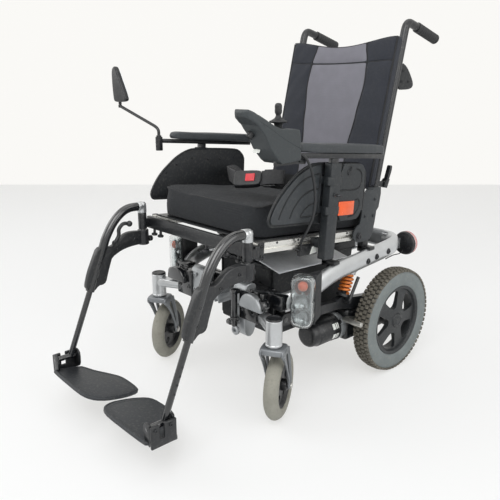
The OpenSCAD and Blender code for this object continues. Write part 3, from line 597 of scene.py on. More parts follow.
    def piece(self, name: str, finish: Finish, body: str, slot: str, stands_for: Sequence[str] = (),
            side: Side = Side.LEFT, sharp: float = 38.0, bevel: float = 0.0, levels: int = 0,
            shape: Callable[[bmesh.types.BMesh], None] | None = None,
            rides: bool = True) -> bpy.types.Object:
        """Turns the shape into a piece of the chair.

        Args:
            name: Name of the piece.
            finish: Its finish.
            body: CAD body that it rides on.
            slot: Material slot of the record; not used.
            stands_for: CAD nodes that it replaces.
            side: Side of the chair; the right side is mirrored.
            sharp: Angle from which an edge stays sharp, in degrees.
            bevel: Width of a Bevel modifier in millimetres.
            levels: Subdivision levels.
            shape: Last change to the mesh, in millimetres.
            rides: Whether it is attached to its body and follows it.

        Returns:
            The piece.
        """
        if shape:
            shape(self.bm)
        bmesh.ops.scale(self.bm, vec=(MM * side.value, MM, MM), verts=self.bm.verts)
        if side is Side.RIGHT:
            bmesh.ops.reverse_faces(self.bm, faces=self.bm.faces)
        mesh = bpy.data.meshes.new(name)
        self.bm.to_mesh(mesh)
        self.bm.free()
        mesh.polygons.foreach_set("use_smooth", [True] * len(mesh.polygons))
        mesh.set_sharp_from_angle(angle=math.radians(sharp))
        made = bpy.data.objects.new(name, mesh)
        bpy.context.scene.collection.objects.link(made)
        mesh.materials.append(finish.material())
        if bevel:
            edge = made.modifiers.new("edges", "BEVEL")
            edge.width = bevel * MM
            edge.segments = 2
            edge.limit_method = "ANGLE"
            edge.angle_limit = math.radians(35)
            edge.harden_normals = True
        if levels:
            finer = made.modifiers.new("finer", "SUBSURF")
            finer.levels = finer.render_levels = levels
        if stands_for:
            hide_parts(*stands_for)
        if rides:
            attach(made, body)
        LOG.info("%s on %s", name, body)
        return made


@dataclass
class Sided:
    """A sub-assembly that stands on each side, drawn for the left and mirrored for the right."""
    side: Side

    @property
    def body(self) -> str:
        """CAD body that it rides on."""
        return "chassis"

    def dress(self, drawn: Shape, name: str, finish: Finish, slot: str, node: str = "",
            part: str = "", **more: object) -> bpy.types.Object:
        """Turns a shape into a piece of this side.

        Args:
            drawn: The shape.
            name: Name of the piece, without the side.
            finish: Its finish.
            slot: Material slot of the record.
            node: CAD node that it replaces, without the side.
            part: CAD body that it rides on instead of `body`, without the side.
            more: Other arguments of Shape.piece.

        Returns:
            The piece.
        """
        tag = self.side.tag
        body = part + tag if part else self.body
        return drawn.piece(name + tag, finish, body, slot, [node + tag] if node else [], self.side, **more)


def repaint(finish: Finish, *names: str) -> None:
    """Gives CAD nodes that keep their shape a finish."""
    for name in names:
        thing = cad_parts[name]
        thing = bpy.data.objects[thing] if isinstance(thing, str) else thing
        thing.data.materials.clear()
        thing.data.materials.append(finish.material())
        LOG.info("%s keeps its shape", name)


# ---- Wheels ----

@dataclass
class DriveWheel(Sided):
    """A drive wheel: carcass, tread blocks, five-spoke rim and hub."""
    centre: Vector = field(default_factory=lambda: Vector((269, 0, 170.5)))
    radius: float = 170.5
    half: float = 29.0
    rim: float = 115.0
    spokes: int = 5
    blocks: int = 64

    @property
    def body(self) -> str:
        """CAD body of the wheel."""
        return "wheel" + self.side.tag

    def tyre(self) -> None:
        """Makes the two sidewalls and the band between them."""
        r, h, rim = self.radius, self.half, self.rim
        wall = Shape()
        for s in (1, -1):
            wall.lathe([(rim - 0.6, s * (h - 8)), (rim, s * (h - 5)), (rim + 3, s * (h - 2.6)),
                (rim + 9, s * (h - 0.8)), (138, s * h), (150, s * (h - 1.2)), (158, s * (h - 3.6)),
                (162, s * (h - 6.5)), (r - 8, s * (h - 8)), (r - 12, s * (h - 14)),
                (rim + 4, s * (h - 14))], self.centre, (1, 0, 0), 128, closed=True)
        self.dress(wall, "drive_tyre_walls", SIDEWALL, "wheel", "drive_wheel")
        band = Shape()
        inner = [(r - 14, 6 - h), (r - 14, h - 6)]
        band.lathe(mirrored([(r - 9.5, h - 5.6), (r - 5.5, h - 10.5),
            (r - 4, 6)]) + inner, self.centre, (1, 0, 0), 128, closed=True)
        # The band's darker rubber is painted shade between the tread blocks.
        self.dress(band, "drive_tyre_band", GROOVE_PAINTED_SHADE, "wheel")

    def tread(self) -> None:
        """Makes four rows of blocks round the band."""
        rows = ((-20.5, 11.0, 12.6, 0.0, 2.6), (-6.8, 12.0, 12.4, 0.5, 0.0), (6.8, 12.0, 12.4, 0.0, 0.0),
            (20.5, 11.0, 12.6, 0.5, 2.6))
        tread = Shape()
        step = math.tau / self.blocks
        for across, wide, long, phase, drop in rows:
            part = bmesh.new()
            bmesh.ops.create_cube(part, size=1.0)
            bmesh.ops.scale(part, vec=(wide, long, 9.0), verts=part.verts)
            crown = [f for f in part.faces if f.normal.z > 0.9]
            bmesh.ops.scale(part, vec=(0.84, 0.86, 1.0), verts=crown[0].verts[:])
            outer = [v for v in crown[0].verts if v.co.x * across > 0] if drop else []
            bmesh.ops.translate(part, vec=(math.copysign(1.5, across), 0, -drop), verts=outer)
            bmesh.ops.bevel(part, geom=list(crown[0].edges), offset=0.9, segments=1, profile=0.5,
                affect="EDGES", material=-1)
            bmesh.ops.translate(part, vec=(across, 0, self.radius - drop * 0.5 - 4.4), verts=part.verts)
            bmesh.ops.rotate(part, cent=(0, 0, 0), matrix=Matrix.Rotation(step * phase, 3, "X"),
                verts=part.verts)
            bmesh.ops.spin(part, geom=part.verts[:] + part.edges[:] + part.faces[:], cent=(0, 0, 0),
                axis=(1, 0, 0), angle=math.tau - step, steps=self.blocks - 1, use_duplicate=True)
            tread.add(part, Matrix.Translation(self.centre))
        self.dress(tread, "drive_tyre_tread", TREAD, "wheel", sharp=25)

    def rim_and_hub(self) -> None:
        """Makes the moulded rim with its windows, and the hub."""
        rim = Shape()
        rim.lathe([(16, 22), (30, 21), (60, 16.5), (92, 14), (103, 14.5), (103, 4), (60, 4), (30, 2),
            (16, 2)], self.centre, (1, 0, 0), 120, closed=True)
        windows = Shape()
        shape = ((44, 8), (50, 15), (62, 18.5), (74, 20.5), (86, 22), (93, 21.6), (97.5, 18), (98.6, 7))
        for i in range(self.spokes):
            middle = 54 + 360 * i / self.spokes
            ring = [(r, -a) for r, a in shape] + [(r, a) for r, a in reversed(shape)]
            outline = [(r * math.sin(math.radians(middle + a)), r * math.cos(math.radians(middle + a)))
                for r, a in ring]
            windows.plate(outline, -6, 40, Plane.X, 0, turn=Matrix.Translation(self.centre))
        rim.combine(windows)
        rim.lathe([(102, -21), (self.rim - 1.5, -24.5), (self.rim + 0.4, -22), (self.rim + 0.4, 22),
            (self.rim - 1.5, 24.8), (109, 24.2), (105, 21.5), (102.4, 15), (102, 4)],
            self.centre, (1, 0, 0), 120, closed=True)
        rim.lathe([(0, 27), (11.5, 27), (12, 26), (13, 26), (13.5, 27), (19, 26.4), (23, 24.6), (26, 20),
            (27, 14), (27, -32), (0, -32)], self.centre, (1, 0, 0), 64)
        for i in range(self.spokes):
            angle = math.radians(90 + 360 * i / self.spokes)
            at = self.centre + Vector((24.6, 19.6 * math.sin(angle), 19.6 * math.cos(angle)))
            rim.lathe([(0, 0.6), (2.4, 0.6), (3, 1.6), (2.6, 2.2), (0, 1.4)], at, (1, 0, 0), 12)
        self.dress(rim, "drive_rim", RIM_PLASTIC, "wheel", bevel=1.6, sharp=32)

    def build(self) -> None:
        """Builds the whole wheel."""
        self.tyre()
        self.tread()
        self.rim_and_hub()


@dataclass
class Castor:
    """A swivelling front castor: fork, tyre and hub, drawn with the stem on the Z axis."""
    side: Side
    stem: Vector = field(default_factory=lambda: Vector((267, -537, 0)))
    turn: float = 29.0
    trail: float = 55.0
    radius: float = 100.0
    half: float = 21.0
    hub: float = 66.0
    crown: float = 237.0

    @property
    def place(self) -> Matrix:
        """Frame of the castor."""
        return turned("Z", self.turn, (self.stem.x * self.side.value, self.stem.y, 0))

    def wheel(self) -> None:
        """Makes the tyre and its hub."""
        centre, h, r = (0, self.trail, self.radius), self.half, self.radius
        tyre = Shape(self.place)
        wall = [(self.hub - 0.4, h - 7), (self.hub, h - 4.5), (self.hub + 2, h - 2.4),
            (self.hub + 7, h - 0.7), (80, h), (86, h - 1.4), (91.5, h - 4.8), (95.8, h - 9.6),
            (98.6, h - 14.6), (99.8, 3.5)]
        tyre.lathe(mirrored(wall, [(r, 0)]), centre, (1, 0, 0), 96, closed=True)
        tyre.piece("castor_tyre" + self.side.tag, CASTOR_TYRE, "castor_roller" + self.side.tag, "wheel",
            ["castor_wheel" + self.side.tag])
        hub = Shape(self.place)
        web = mirrored([(13, 9), (30, 8.5), (56, 6), (60, 12), (65.4, 15.5), (65.8, 14)])
        hub.lathe(web, centre, (1, 0, 0), 96, closed=True)
        holes = Shape(self.place)
        for i in range(5):
            angle = math.radians(18 + 72 * i)
            y, z = self.trail + 42 * math.cos(angle), self.radius + 42 * math.sin(angle)
            holes.rod((-30, y, z), (30, y, z), 11.5, bevel=0)
        hub.combine(holes)
        hub.lathe(mirrored([(6.2, 26), (12, 26), (15.5, 24), (17, 18)]), centre, (1, 0, 0), 48, closed=True)
        hub.piece("castor_hub" + self.side.tag, DARK_PLASTIC, "castor_roller" + self.side.tag, "wheel",
            bevel=1.0)

    def fork(self) -> None:
        """Makes the cast fork with its ribs, stem and axle."""
        fork = Shape(self.place)
        leg = [(-26, 234), (-2, 237), (28, 235), (41, 214), (52, 172), (64, 122), (67, 104), (64, 93),
            (55, 88), (46, 93), (43, 106), (38, 126), (14, 176), (-10, 204), (-28, 218)]
        slot = [(2, 214), (22, 216), (36, 178), (50, 128), (47, 124), (26, 170)]
        for s in (-1, 1):
            low, high = (27.2, 33) if s > 0 else (-33, -27.2)
            leg_plate = Shape(self.place).plate(soft_outline(leg), low, high, Plane.X, 1.6)
            leg_plate.combine(Shape(self.place).plate(soft_outline(slot, 1), low - 5, high + 5, Plane.X, 0))
            fork.bm.from_mesh(leg_plate.mesh())
            outer = 32.4 if s > 0 else -32.4
            for route in (((-20, 221), (12, 178), (42, 124), (48, 100)), ((32, 228), (46, 186), (59, 132),
                    (61, 104))):
                fork.tube(rounded([(outer, y, z) for y, z in route], 20), 3.1, 10)
        crown = [(-33, -20), (-24, -29), (24, -29), (33, -20), (33, 26), (26, 33), (-26, 33), (-33, 26)]
        fork.plate(soft_outline(crown, 2), 219, self.crown, Plane.Z, 5, 3)
        fork.lathe([(0, 5), (14, 5), (16.5, 3.6), (18, 0), (22, -2), (0, -2)], (0, 0, self.crown - 1),
            (0, 0, 1), 48)
        fork.piece("castor_fork_frame" + self.side.tag, FORK_GREY, "castor_swivel" + self.side.tag,
            "castor_fork", ["castor_fork" + self.side.tag], bevel=1.0)
        axle = Shape(self.place)
        axle.rod((-38, self.trail, self.radius), (38, self.trail, self.radius), 5.9)
        axle.rod((0, 0, self.crown - 1), (0, 0, self.crown + 70), 8)
        axle.lathe([(0, 0), (9, 0), (9, 3.5), (7, 5.5), (0, 6)], (33, self.trail, self.radius), (1, 0, 0),
            24)
        axle.lathe([(0, 0), (9, 0), (9, 3.5), (7, 5.5), (0, 6)], (-33, self.trail, self.radius), (-1, 0, 0),
            6)
        axle.piece("castor_axle" + self.side.tag, ZINC, "castor_swivel" + self.side.tag, "castor_fork")

    def build(self) -> None:
        """Builds wheel and fork."""
        self.wheel()
        self.fork()


# ---- Chassis ----

@dataclass
class SideFrame(Sided):
    """One side of the chassis: swept tube, castor arm with its barrel, bolts and lamps."""
    stem: Vector = field(default_factory=lambda: Vector((267, -537, 0)))

    def tube(self) -> None:
        """Makes the painted side tube and the bolts on it."""
        route = rounded([(222, -461, 326), (250, -415, 342), (250, -277, 384), (250, -60, 403),
            (250, 22, 413), (214, 55, 414), (184, 56, 414)], 40, 9)
        tube = Shape()
        tube.tube(route, ellipse(17, 28, 36), twist="Z_UP")
        tube.rod((215, -164, 346), (215, -158, 360), 20)
        tube.block((207, -174, 352), (234.6, -146, 372), 3)
        self.dress(tube, "side_tube_skin", SILVER_PAINT, "silver_frame", "side_tube")
        bolts = Shape()
        for y, z in ((-140, 392), (-98, 398), (-38, 404)):
            bolts.lathe([(9.6, -6), (9.6, 0.4), (8.6, 1.4), (0, 1.4)], (266.6, y, z), (1, 0.0, 0.1), 28)
            bolts.screw((267.8, y, z), (1, 0, 0.1), 6.4, 3.6)
        self.dress(bolts, "side_tube_bolts", BOLT_STEEL, "silver_frame")

    def castor_arm(self) -> None:
        """Makes the arm that carries the castor's barrel."""
        arm = Shape()
        x, y = self.stem.x, self.stem.y
        arm.lathe([(8.2, 241), (21.5, 241), (23, 242.4), (23, 246), (22.2, 247), (22.2, 307), (23, 308.5),
            (23, 312), (22, 313), (8.2, 313)], (x, y, 0), (0, 0, 1), 56, closed=True)
        arm.plate([(x + 6, y + 16), (x - 8, y - 20), (186.2, -519), (186.2, -484), (218, -492)],
            272, 304, Plane.Z, 14, 6)
        self.dress(arm, "castor_barrel", SILVER_PAINT, "castor_fork", "castor_arm")
        cap = Shape()
        cap.lathe([(0, 312), (22, 312), (22, 315.5), (20.4, 317.6), (15, 318.4), (14, 317.2), (0, 317.2)],
            (x, y, 0), (0, 0, 1), 48)
        self.dress(cap, "castor_cap", DARK_PLASTIC, "castor_fork")

    def front_lamp(self) -> None:
        """Makes the shell, the clear lens, its bowls and the orange bulb."""
        place = turned("Z", 28, (297, -468, 349))
        shell = Shape(place)
        shell.plate([(-30, 38), (31, 38), (34, 88), (25, 96), (17, 84), (2, 56), (-22, 43)],
            -66, 66, Plane.Z, 3, 3)
        shell.plate([(-31, -70), (31, -70), (31, 70), (-31, 70)], 34, 39.4, Plane.Y, 2)
        self.dress(shell, "front_lamp_shell", BOX_PLASTIC, "lamp", "front_lamp")
        bracket = Shape()
        bracket.block((262, -400, 352), (284, -386, 366), 2)
        self.dress(bracket, "front_lamp_bracket", BLACK_PAINT, "lamp")
        outline = soft_outline([(-31, 58), (-22, 72), (22, 72), (31, 58), (31, 12), (28, 2), (31, -8),
            (31, -56), (20, -73), (-20, -73), (-31, -56), (-31, -8), (-28, 2), (-31, 12)], 2)
        lens = Shape(place)
        lens.plate(outline, 0, 36, Plane.Y, 7, 4)
        lens.combine(Shape(place).plate([(p[0] * 0.9, p[1] * 0.95) for p in outline],
            2.4, 35, Plane.Y, 5, 3))
        self.dress(lens, "front_lamp_lens", LENS_CLEAR, "lamp")
        bowls = Shape(place)
        bowls.plate([(p[0] * 0.86, p[1] * 0.92) for p in outline], 27, 33, Plane.Y, 1)
        for z in (38, -4, -46):
            bowls.lathe([(3, 3), (10, 1), (18, -6), (23, -12), (24.4, -12), (19, -5), (10, 2.5), (3, 5)],
                (0, 27, z), (0, 1, 0), 32, closed=True)
            bowls.lathe([(0, 0), (2.4, 0), (2.4, -9), (0, -9)], (0, 22, z - 14), (0, 1, 0), 12)
        self.dress(bowls, "front_lamp_bowls", LAMP_BOWL, "lamp")
        bulb = Shape(place)
        bulb.lathe([(0, 0), (8, 0), (13, 6), (14, 12), (11, 20), (5, 24), (0, 25)], (0, 27, 42), (0, -1, 0),
            28)
        self.dress(bulb, "front_lamp_bulb", BULB_ORANGE, "lamp")

    def rear_lamp(self) -> None:
        """Makes the lamp's shell with its screws, its lens and its red band."""
        x, y, z = at = (240, 84, 402)
        shell = Shape()
        shell.lathe([(0, 0), (33, 0), (36, 1.4), (37.6, 5), (39, 10.8), (37, 11.4), (0, 11.4)],
            at, (0, 1, 0), 72)
        shell.lathe([(12, -0.8), (14, -0.8), (14, 1), (12, 1)], at, (0, 1, 0), 40, closed=True)
        for angle in (100, 215, 330):
            turn = math.radians(angle)
            shell.screw((x + 25 * math.cos(turn), y + 0.4, z + 25 * math.sin(turn)), (0, -1, 0), 3.4, 2.2)
        self.dress(shell, "rear_lamp_shell", DARK_PLASTIC, "rear_lamp", "rear_lamp")
        lens = Shape()
        lens.lathe([(0, 11), (38, 11), (38.2, 18), (36.5, 27), (33, 32), (24, 33), (0, 33)], at, (0, 1, 0),
            72)
        self.dress(lens, "rear_lamp_lens", LENS_REAR, "rear_lamp")
        red = Shape()
        red.lathe([(34, 0), (38.4, 0), (38.6, 8), (34, 8)], (x, y + 14, z), (0, 1, 0), 72, closed=True)
        self.dress(red, "rear_lamp_band", LENS_RED, "rear_lamp")

    def build(self) -> None:
        """Builds the side of the chassis."""
        self.tube()
        self.castor_arm()
        self.front_lamp()
        self.rear_lamp()


@dataclass
class FrontBeam:
    """The beam between the castor arms with its castings, clamps and tie-down stay."""
    body: str = "chassis"

    def build(self) -> None:
        """Builds the black and the silver parts."""
        black = Shape()
        black.block((-150, -446, 312), (150, -414, 340), 4)
        for x in (-70, 50):
            black.block((x, -415, 316), (x + 20, -396.2, 336))
        for s in (-1, 1):
            def across(a: float, b: float) -> tuple[float, float]:
                """Sorts two values of X on this side."""
                return min(s * a, s * b), max(s * a, s * b)
            for (a, b), low, high, edge in (((110, 186), (-522, 268), (-446, 350), 5), ((184, 240),
                    (-482, 310), (-450, 354), 4), ((184, 196), (-470, 258), (-432, 322), 3), ((184, 214),
                    (-530, 308), (-506, 334), 5)):
                x0, x1 = across(a, b)
                black.block((x0, *low), (x1, *high), edge)
            black.rod((s * 184, -450, 275), (s * 226, -450, 275), 8)
            black.rod((s * 205, -532, 330), (s * 205, -508, 330), 17, bevel=3)
            for x in (150, 172, 196):
                black.rod((s * x, -512, 334), (s * x, -512, 352), 5)
                black.screw((s * x, -512, 352), (0, 0, 1), 6.2, 6)
            for x in (124, 170):
                black.screw((s * x, -522, 300), (0, -1, 0), 6, 4, 8)
        black.rod((103, -532, 244), (103, -532, 351), 9, bevel=2)
        black.block((92, -540, 340), (114, -518, 354), 4)
        black.rod((103, -532, 262), (103, -532, 272), 13, bevel=2)
        black.lathe([(0, 0), (7, 0), (9, 2), (9, 13), (7, 16), (0, 16)], (90, -532, 250), (-1, 0, 0), 12)
        black.piece("front_beam", GLOSS_BLACK, self.body, "black_frame", ["front_cross_beam"])
        cast, far = Shape(), Shape()
        for s in (-1, 1):
            x0, x1 = (74, 126) if s > 0 else (-126, -74)
            cast.plate(soft_outline([(-516, 366), (-464, 366), (-464, 262), (-476, 214), (-494, 204),
                (-516, 220)]), x0, x1, Plane.X, 3, 3)
            for z in (250, 300, 345):
                cast.screw((s * 100, -515.4, z), (0, -1, 0), 6, 4, 8.5)
            shield = [(42 * math.cos(math.radians(a)), 40 * math.sin(math.radians(a)))
                for a in range(-8, 189, 7)]
            (cast if s > 0 else far).plate([(s * 172 + p[0], 318 + p[1]) for p in shield],
                -540, -521, Plane.Y, 5, 3)
        cast.block((-22, -524, 296), (22, -416, 314), 3)
        for x in (-20, -3, 14):
            cast.block((x, -520, 284), (x + 6, -430, 298), 1.5)
        cast.lathe([(6, 5), (10, 6.5), (14, 3), (14, -3), (10, -6.5), (6, -5)], (108, -532, 232), (0, 1, 0),
            36, closed=True)
        cast.rod((82, -532, 250), (103, -532, 250), 4)
        cast.piece("front_castings", CAST_SILVER, self.body, "cast_alloy")
        far.piece("front_shield_right", GLOSS_BLACK, self.body, "black_frame")


@dataclass
class BatteryBay:
    """Battery box, hood, skirt and the rear cross tube."""
    half: float = 116.0
    body: str = "chassis"

    def build(self) -> None:
        """Builds the hood, the lip and the skirt, and paints the rest."""
        hood = Shape(turned("X", 88, (0, -432, 0)) @ Matrix.Translation((0, 0, -305)))
        hood.plate([(-166, 392), (-84, 410.4), (-76, 411), (76, 411), (84, 410.4), (166, 392), (165, 388),
            (83, 406.4), (76, 407), (-76, 407), (-83, 406.4), (-165, 388)], 0, 305, Plane.Z, 0.8)
        hood.piece("battery_hood", HOOD_GREY_PAINTED_LIGHT, self.body, "cover_plastic", ["battery_cover"], sharp=50)
        repaint(BOX_PLASTIC, "battery_box")
        repaint(DARK_PLASTIC, "batteries", "power_module")
        repaint(CAST_SILVER, "rear_cross_tube")
        lid = Shape()
        lid.block((-118, -402, 380), (118, -390, 392), 2)
        for x in (-80, 0, 80):
            lid.screw((x, -402, 386), (0, -1, 0), 4.5, 3, 6.5)
        lid.piece("battery_box_lip", BOX_PLASTIC, self.body, "box_plastic")
        skirt = Shape()
        for s in (-1, 1):
            skirt.plate([(-394, 384), (-394, 190), (-380, 176), (-70, 176), (-50, 196), (-30, 384)],
                s * 117 - 3, s * 117 + 3, Plane.X, 2)
        skirt.block((-self.half, -394, 180), (self.half, -388, 262), 2)
        skirt.block((-self.half, -390, 176), (self.half, -70, 182), 2)
        skirt.block((-self.half, -76, 178), (self.half, -70, 362), 2)
        skirt.piece("battery_skirt", BOX_PLASTIC, self.body, "box_plastic")


@dataclass
class DriveUnit(Sided):
    """Motor, gearbox, swing arm, freewheel lever and suspension spring of one side."""
    motor: tuple[float, float, float] = (179, -315, 170.5)

    @property
    def body(self) -> str:
        """CAD body of the drive unit."""
        return "drive_unit" + self.side.tag

    def build(self) -> None:
        """Builds the drive unit."""
        x, y, z = self.motor
        motor = Shape()
        motor.lathe([(0, 0), (22, 0), (28.5, 1.2), (33, 4), (36, 9), (37.4, 20), (38.6, 26), (38.6, 29),
            (40, 31), (41, 33), (41, 118), (0, 118)], self.motor, (0, 1, 0), 72)
        for height in (96, 104):
            motor.lathe([(40, -1.2), (41.8, -1.2), (41.8, 1.2), (40, 1.2)], (x, y + height, z), (0, 1, 0),
                72, closed=True)
        motor.block((146, -174, 126), (222, 44, 230), 12, 4)
        motor.lathe([(0, 0), (30, 0), (30, 4), (28, 5), (0, 5)], (221, 0, z), (1, 0, 0), 48)
        for dy, dz in ((-150, 108), (-60, 108), (22, 108), (-150, 30), (22, 30)):
            motor.screw((221.6, dy, 110 + dz), (1, 0, 0), 5, 3.6)
        self.dress(motor, "motor_case", MOTOR_BLACK, "motor", "motor")
        clamp = Shape()
        clamp.lathe(mirrored([(40.4, -10), (43, -11), (43.4, -9)]), (x, -186, z), (0, 1, 0),
            72, closed=True)
        clamp.block((x + 28, -197, z + 16), (x + 43, -175, z + 36), 3)
        clamp.rod((220, 0, z), (294, 0, z), 10)
        clamp.rod((221, -135, 186), (229, -135, 186), 4)
        self.dress(clamp, "motor_clamp", CAST_SILVER, "motor")
        screws = Shape()
        screws.screw((x + 36, -197, z + 26), (0, -1, 0), 7, 3, 0)
        self.dress(screws, "motor_clamp_screw", BOLT_STEEL, "motor")
        labels = Shape()
        for start in (-38, 8):
            labels.lathe([(41.7, 18), (41.7, 44)], (x, -250, z), (0, 1, 0),
                72, arc=25, start=start, wall=0.3)
        self.dress(labels, "motor_labels", BARE_LABEL, "motor")
        repaint(BLACK_PAINT, "swing_arm" + self.side.tag)
        lever = Shape()
        lever.rod((222.4, -188, 205), (290, -188, 205), 8, bevel=2.4)
        lever.plate(soft_outline([(-196, 205), (-180, 197), (-146, 172), (-136, 168), (-122, 176),
            (-120, 190), (-126, 200), (-150, 204), (-180, 214)]), 222.4, 227, Plane.X, 1)
        self.dress(lever, "release_lever", ZINC, "lever_steel", "freewheel_lever", part="freewheel")
        self.spring()

    def spring(self) -> None:
        """Makes the coil spring with its damper rod."""
        top, foot = Vector((215, -164, 346)), Vector((215, -189, 287))
        axis = (foot - top).normalized()
        fore = axis.cross(Vector((1, 0, 0)))
        wire, radius, turns = 4.3, 15.5, 5
        reach = (foot - top).length - 2 * wire
        count = turns * 24
        coil = [top + axis * (wire + reach * i / count) + Vector((1, 0,
            0)) * radius * math.cos(math.tau * i / 24) + fore * radius * math.sin(math.tau * i / 24)
            for i in range(count + 1)]
        spring = Shape()
        spring.tube(coil, wire, 12)
        made = [spring.piece("suspension_coil" + self.side.tag, SPRING_ORANGE, "chassis", "spring",
            ["spring" + self.side.tag], self.side)]
        damper = Shape()
        damper.rod(top + axis, foot - axis, 8)
        made.append(damper.piece("suspension_damper" + self.side.tag, DARK_PLASTIC, "chassis", "spring",
            side=self.side))
        for thing in made:
            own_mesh(thing)


# ---- Soft goods ----

def swell(thing: bpy.types.Object, pinned: Callable[[Vector], float],
        pressure: float, cap: float, frames: int = 20, stiff: float = 15.0) -> None:
    """Blows a closed cloth up a little, held along its seams, and keeps the result.

    Args:
        thing: The piece, with its mesh in metres.
        pinned: How firmly a point is held, from 0 to 1.
        pressure: Air pressure inside.
        cap: Furthest that a point may move, in metres.
        frames: Frames of the simulation.
        stiff: Tension of the fabric.
    """
    scene = bpy.context.scene
    held = thing.vertex_groups.new(name="held")
    for vertex in thing.data.vertices:
        weight = pinned(vertex.co)
        if weight > 0:
            held.add([vertex.index], weight, "REPLACE")
    rest = [v.co.copy() for v in thing.data.vertices]
    cloth = thing.modifiers.new("cloth", "CLOTH")
    values = cloth.settings
    values.quality = 4
    values.mass = 0.25
    values.tension_stiffness = values.compression_stiffness = stiff
    values.shear_stiffness = 5
    values.bending_stiffness = 0.6
    values.use_pressure = True
    values.uniform_pressure_force = pressure
    values.vertex_group_mass = "held"
    values.effector_weights.gravity = 0
    cloth.collision_settings.use_collision = False
    cloth.point_cache.frame_start = 1
    cloth.point_cache.frame_end = frames
    for number in range(1, frames + 1):
        scene.frame_set(number)
    blown = thing.evaluated_get(bpy.context.evaluated_depsgraph_get())
    moved = [v.co.copy() for v in blown.data.vertices]
    thing.modifiers.remove(cloth)
    thing.vertex_groups.remove(held)
    for vertex, old, new in zip(thing.data.vertices, rest, moved):
        step = new - old
        vertex.co = old + (step * (cap / step.length) if step.length > cap else step)
    thing.data.update()
    scene.frame_set(1)


def ramp(value: float, stops: Sequence[tuple[float, float]]) -> float:
    """Reads a smooth curve through (place, height) stops."""
    if value <= stops[0][0]:
        return stops[0][1]
    for (a, low), (b, high) in zip(stops, stops[1:]):
        if value <= b:
            t = (value - a) / (b - a)
            return low + (high - low) * t * t * (3 - 2 * t)
    return stops[-1][1]


@dataclass
class SeatCushion:
    """The contoured seat cushion in its black cover."""
    half: float = 217.0
    front: float = -380.0
    rear: float = 84.0
    base: float = 23.0
    top: float = 111.0
    body: str = "chassis"

    def height(self, x: float, y: float) -> float:
        """Height of the top face over the rails."""
        along = ramp(y, ((self.front, -6), (-330, 1), (-240, -2), (-120, -8), (-20, -10), (self.rear, -6)))
        across = 2.5 * math.cos(math.pi * x / self.half)
        hollow = -4.0 * math.exp(-((y + 110) / 110) ** 2) * (0.5 + 0.5 * math.cos(math.pi * x / self.half))
        thigh = -3.0 * math.exp(-((abs(x) - 105) / 60) ** 2) * ramp(y, ((-380, 1.0), (-200, 0.3), (0, 0)))
        folds = 1.6 * math.sin(x / 31 + y / 47) * math.sin(y / 38 - x / 83) * ramp(y, ((-380, 1.0),
            (-120, 0.4)))
        return self.top + along - across * 0.4 + hollow + thigh + folds

    def build(self) -> None:
        """Builds the cushion, swells it between its seams and adds the piping."""
        shape = Shape(TILTED)
        part = bmesh.new()
        bmesh.ops.create_cube(part, size=1.0)
        bmesh.ops.subdivide_edges(part, edges=part.edges[:], cuts=30, use_grid_fill=True)
        for vertex in part.verts:
            u, v, w = vertex.co.x * 2, vertex.co.y + 0.5, vertex.co.z + 0.5
            corner = max(0.0, abs(u) - 0.86) / 0.14
            bow = 1 - 0.03 * (1 - (2 * v - 1) ** 2)
            x = self.half * u * bow
            y = self.front + (self.rear - self.front) * v
            y += ramp(v, ((0, 14), (0.1, 0), (0.92, 0), (1, -8))) * corner
            x *= 1 - 0.03 * ramp(v, ((0, 1), (0.08, 0), (0.94, 0), (1, 1)))
            z = self.base + (self.height(x, y) - self.base) * w
            wall = max(abs(u), abs(2 * v - 1))
            if wall > 0.985 and 0.02 < w < 0.98:
                puff = 3.0 * math.sin(math.pi * min(1, w / 0.8))
                if abs(u) > 0.985:
                    x += math.copysign(puff, u)
                if abs(2 * v - 1) > 0.985:
                    y += math.copysign(puff, v - 0.5)
            vertex.co = (x, y, z)
        shape.add(part)
        cushion = shape.piece("seat_cushion_cover", CUSHION_BLACK, self.body, "upholstery",
            ["seat_cushion"], sharp=70, levels=1)
        turn_back = TILTED.inverted()

        def held(point: Vector) -> float:
            """Holds the top and bottom seams and the base."""
            local = turn_back @ (point / MM)
            near = max(abs(local.x) - (self.half - 9), local.y - (self.rear - 9), self.front + 9 - local.y)
            top = self.height(local.x, local.y)
            if local.z < self.base + 6:
                return 1.0
            return 0.9 if near > 0 and local.z > top - 5 else 0.0

        swell(cushion, held, 2.5, 0.007, 14)
        self.piping()

    def piping(self) -> None:
        """Sews a piped seam round the top of the cushion."""
        corners = [(0, self.front + 2), (self.half - 4, self.front + 6), (self.half - 3, -150),
            (self.half - 4, self.rear - 3), (0, self.rear - 2)]
        ring = [tuple(p) for p in rounded(corners, 26, 6)]
        loop = ring + [(-x, y) for x, y in reversed(ring[:-1])]
        points = []
        for (x0, y0), (x1, y1) in zip(loop, loop[1:]):
            count = max(1, round(math.hypot(x1 - x0, y1 - y0) / 16))
            for i in range(count):
                x, y = x0 + (x1 - x0) * i / count, y0 + (y1 - y0) * i / count
                points.append(Vector((x, y, self.height(x, y) - 2.5)))
        seam = Shape(TILTED)
        seam.tube(points + [points[0]], 2.1, 8)
        seam.piece("seat_cushion_piping", PIPING, self.body, "upholstery")


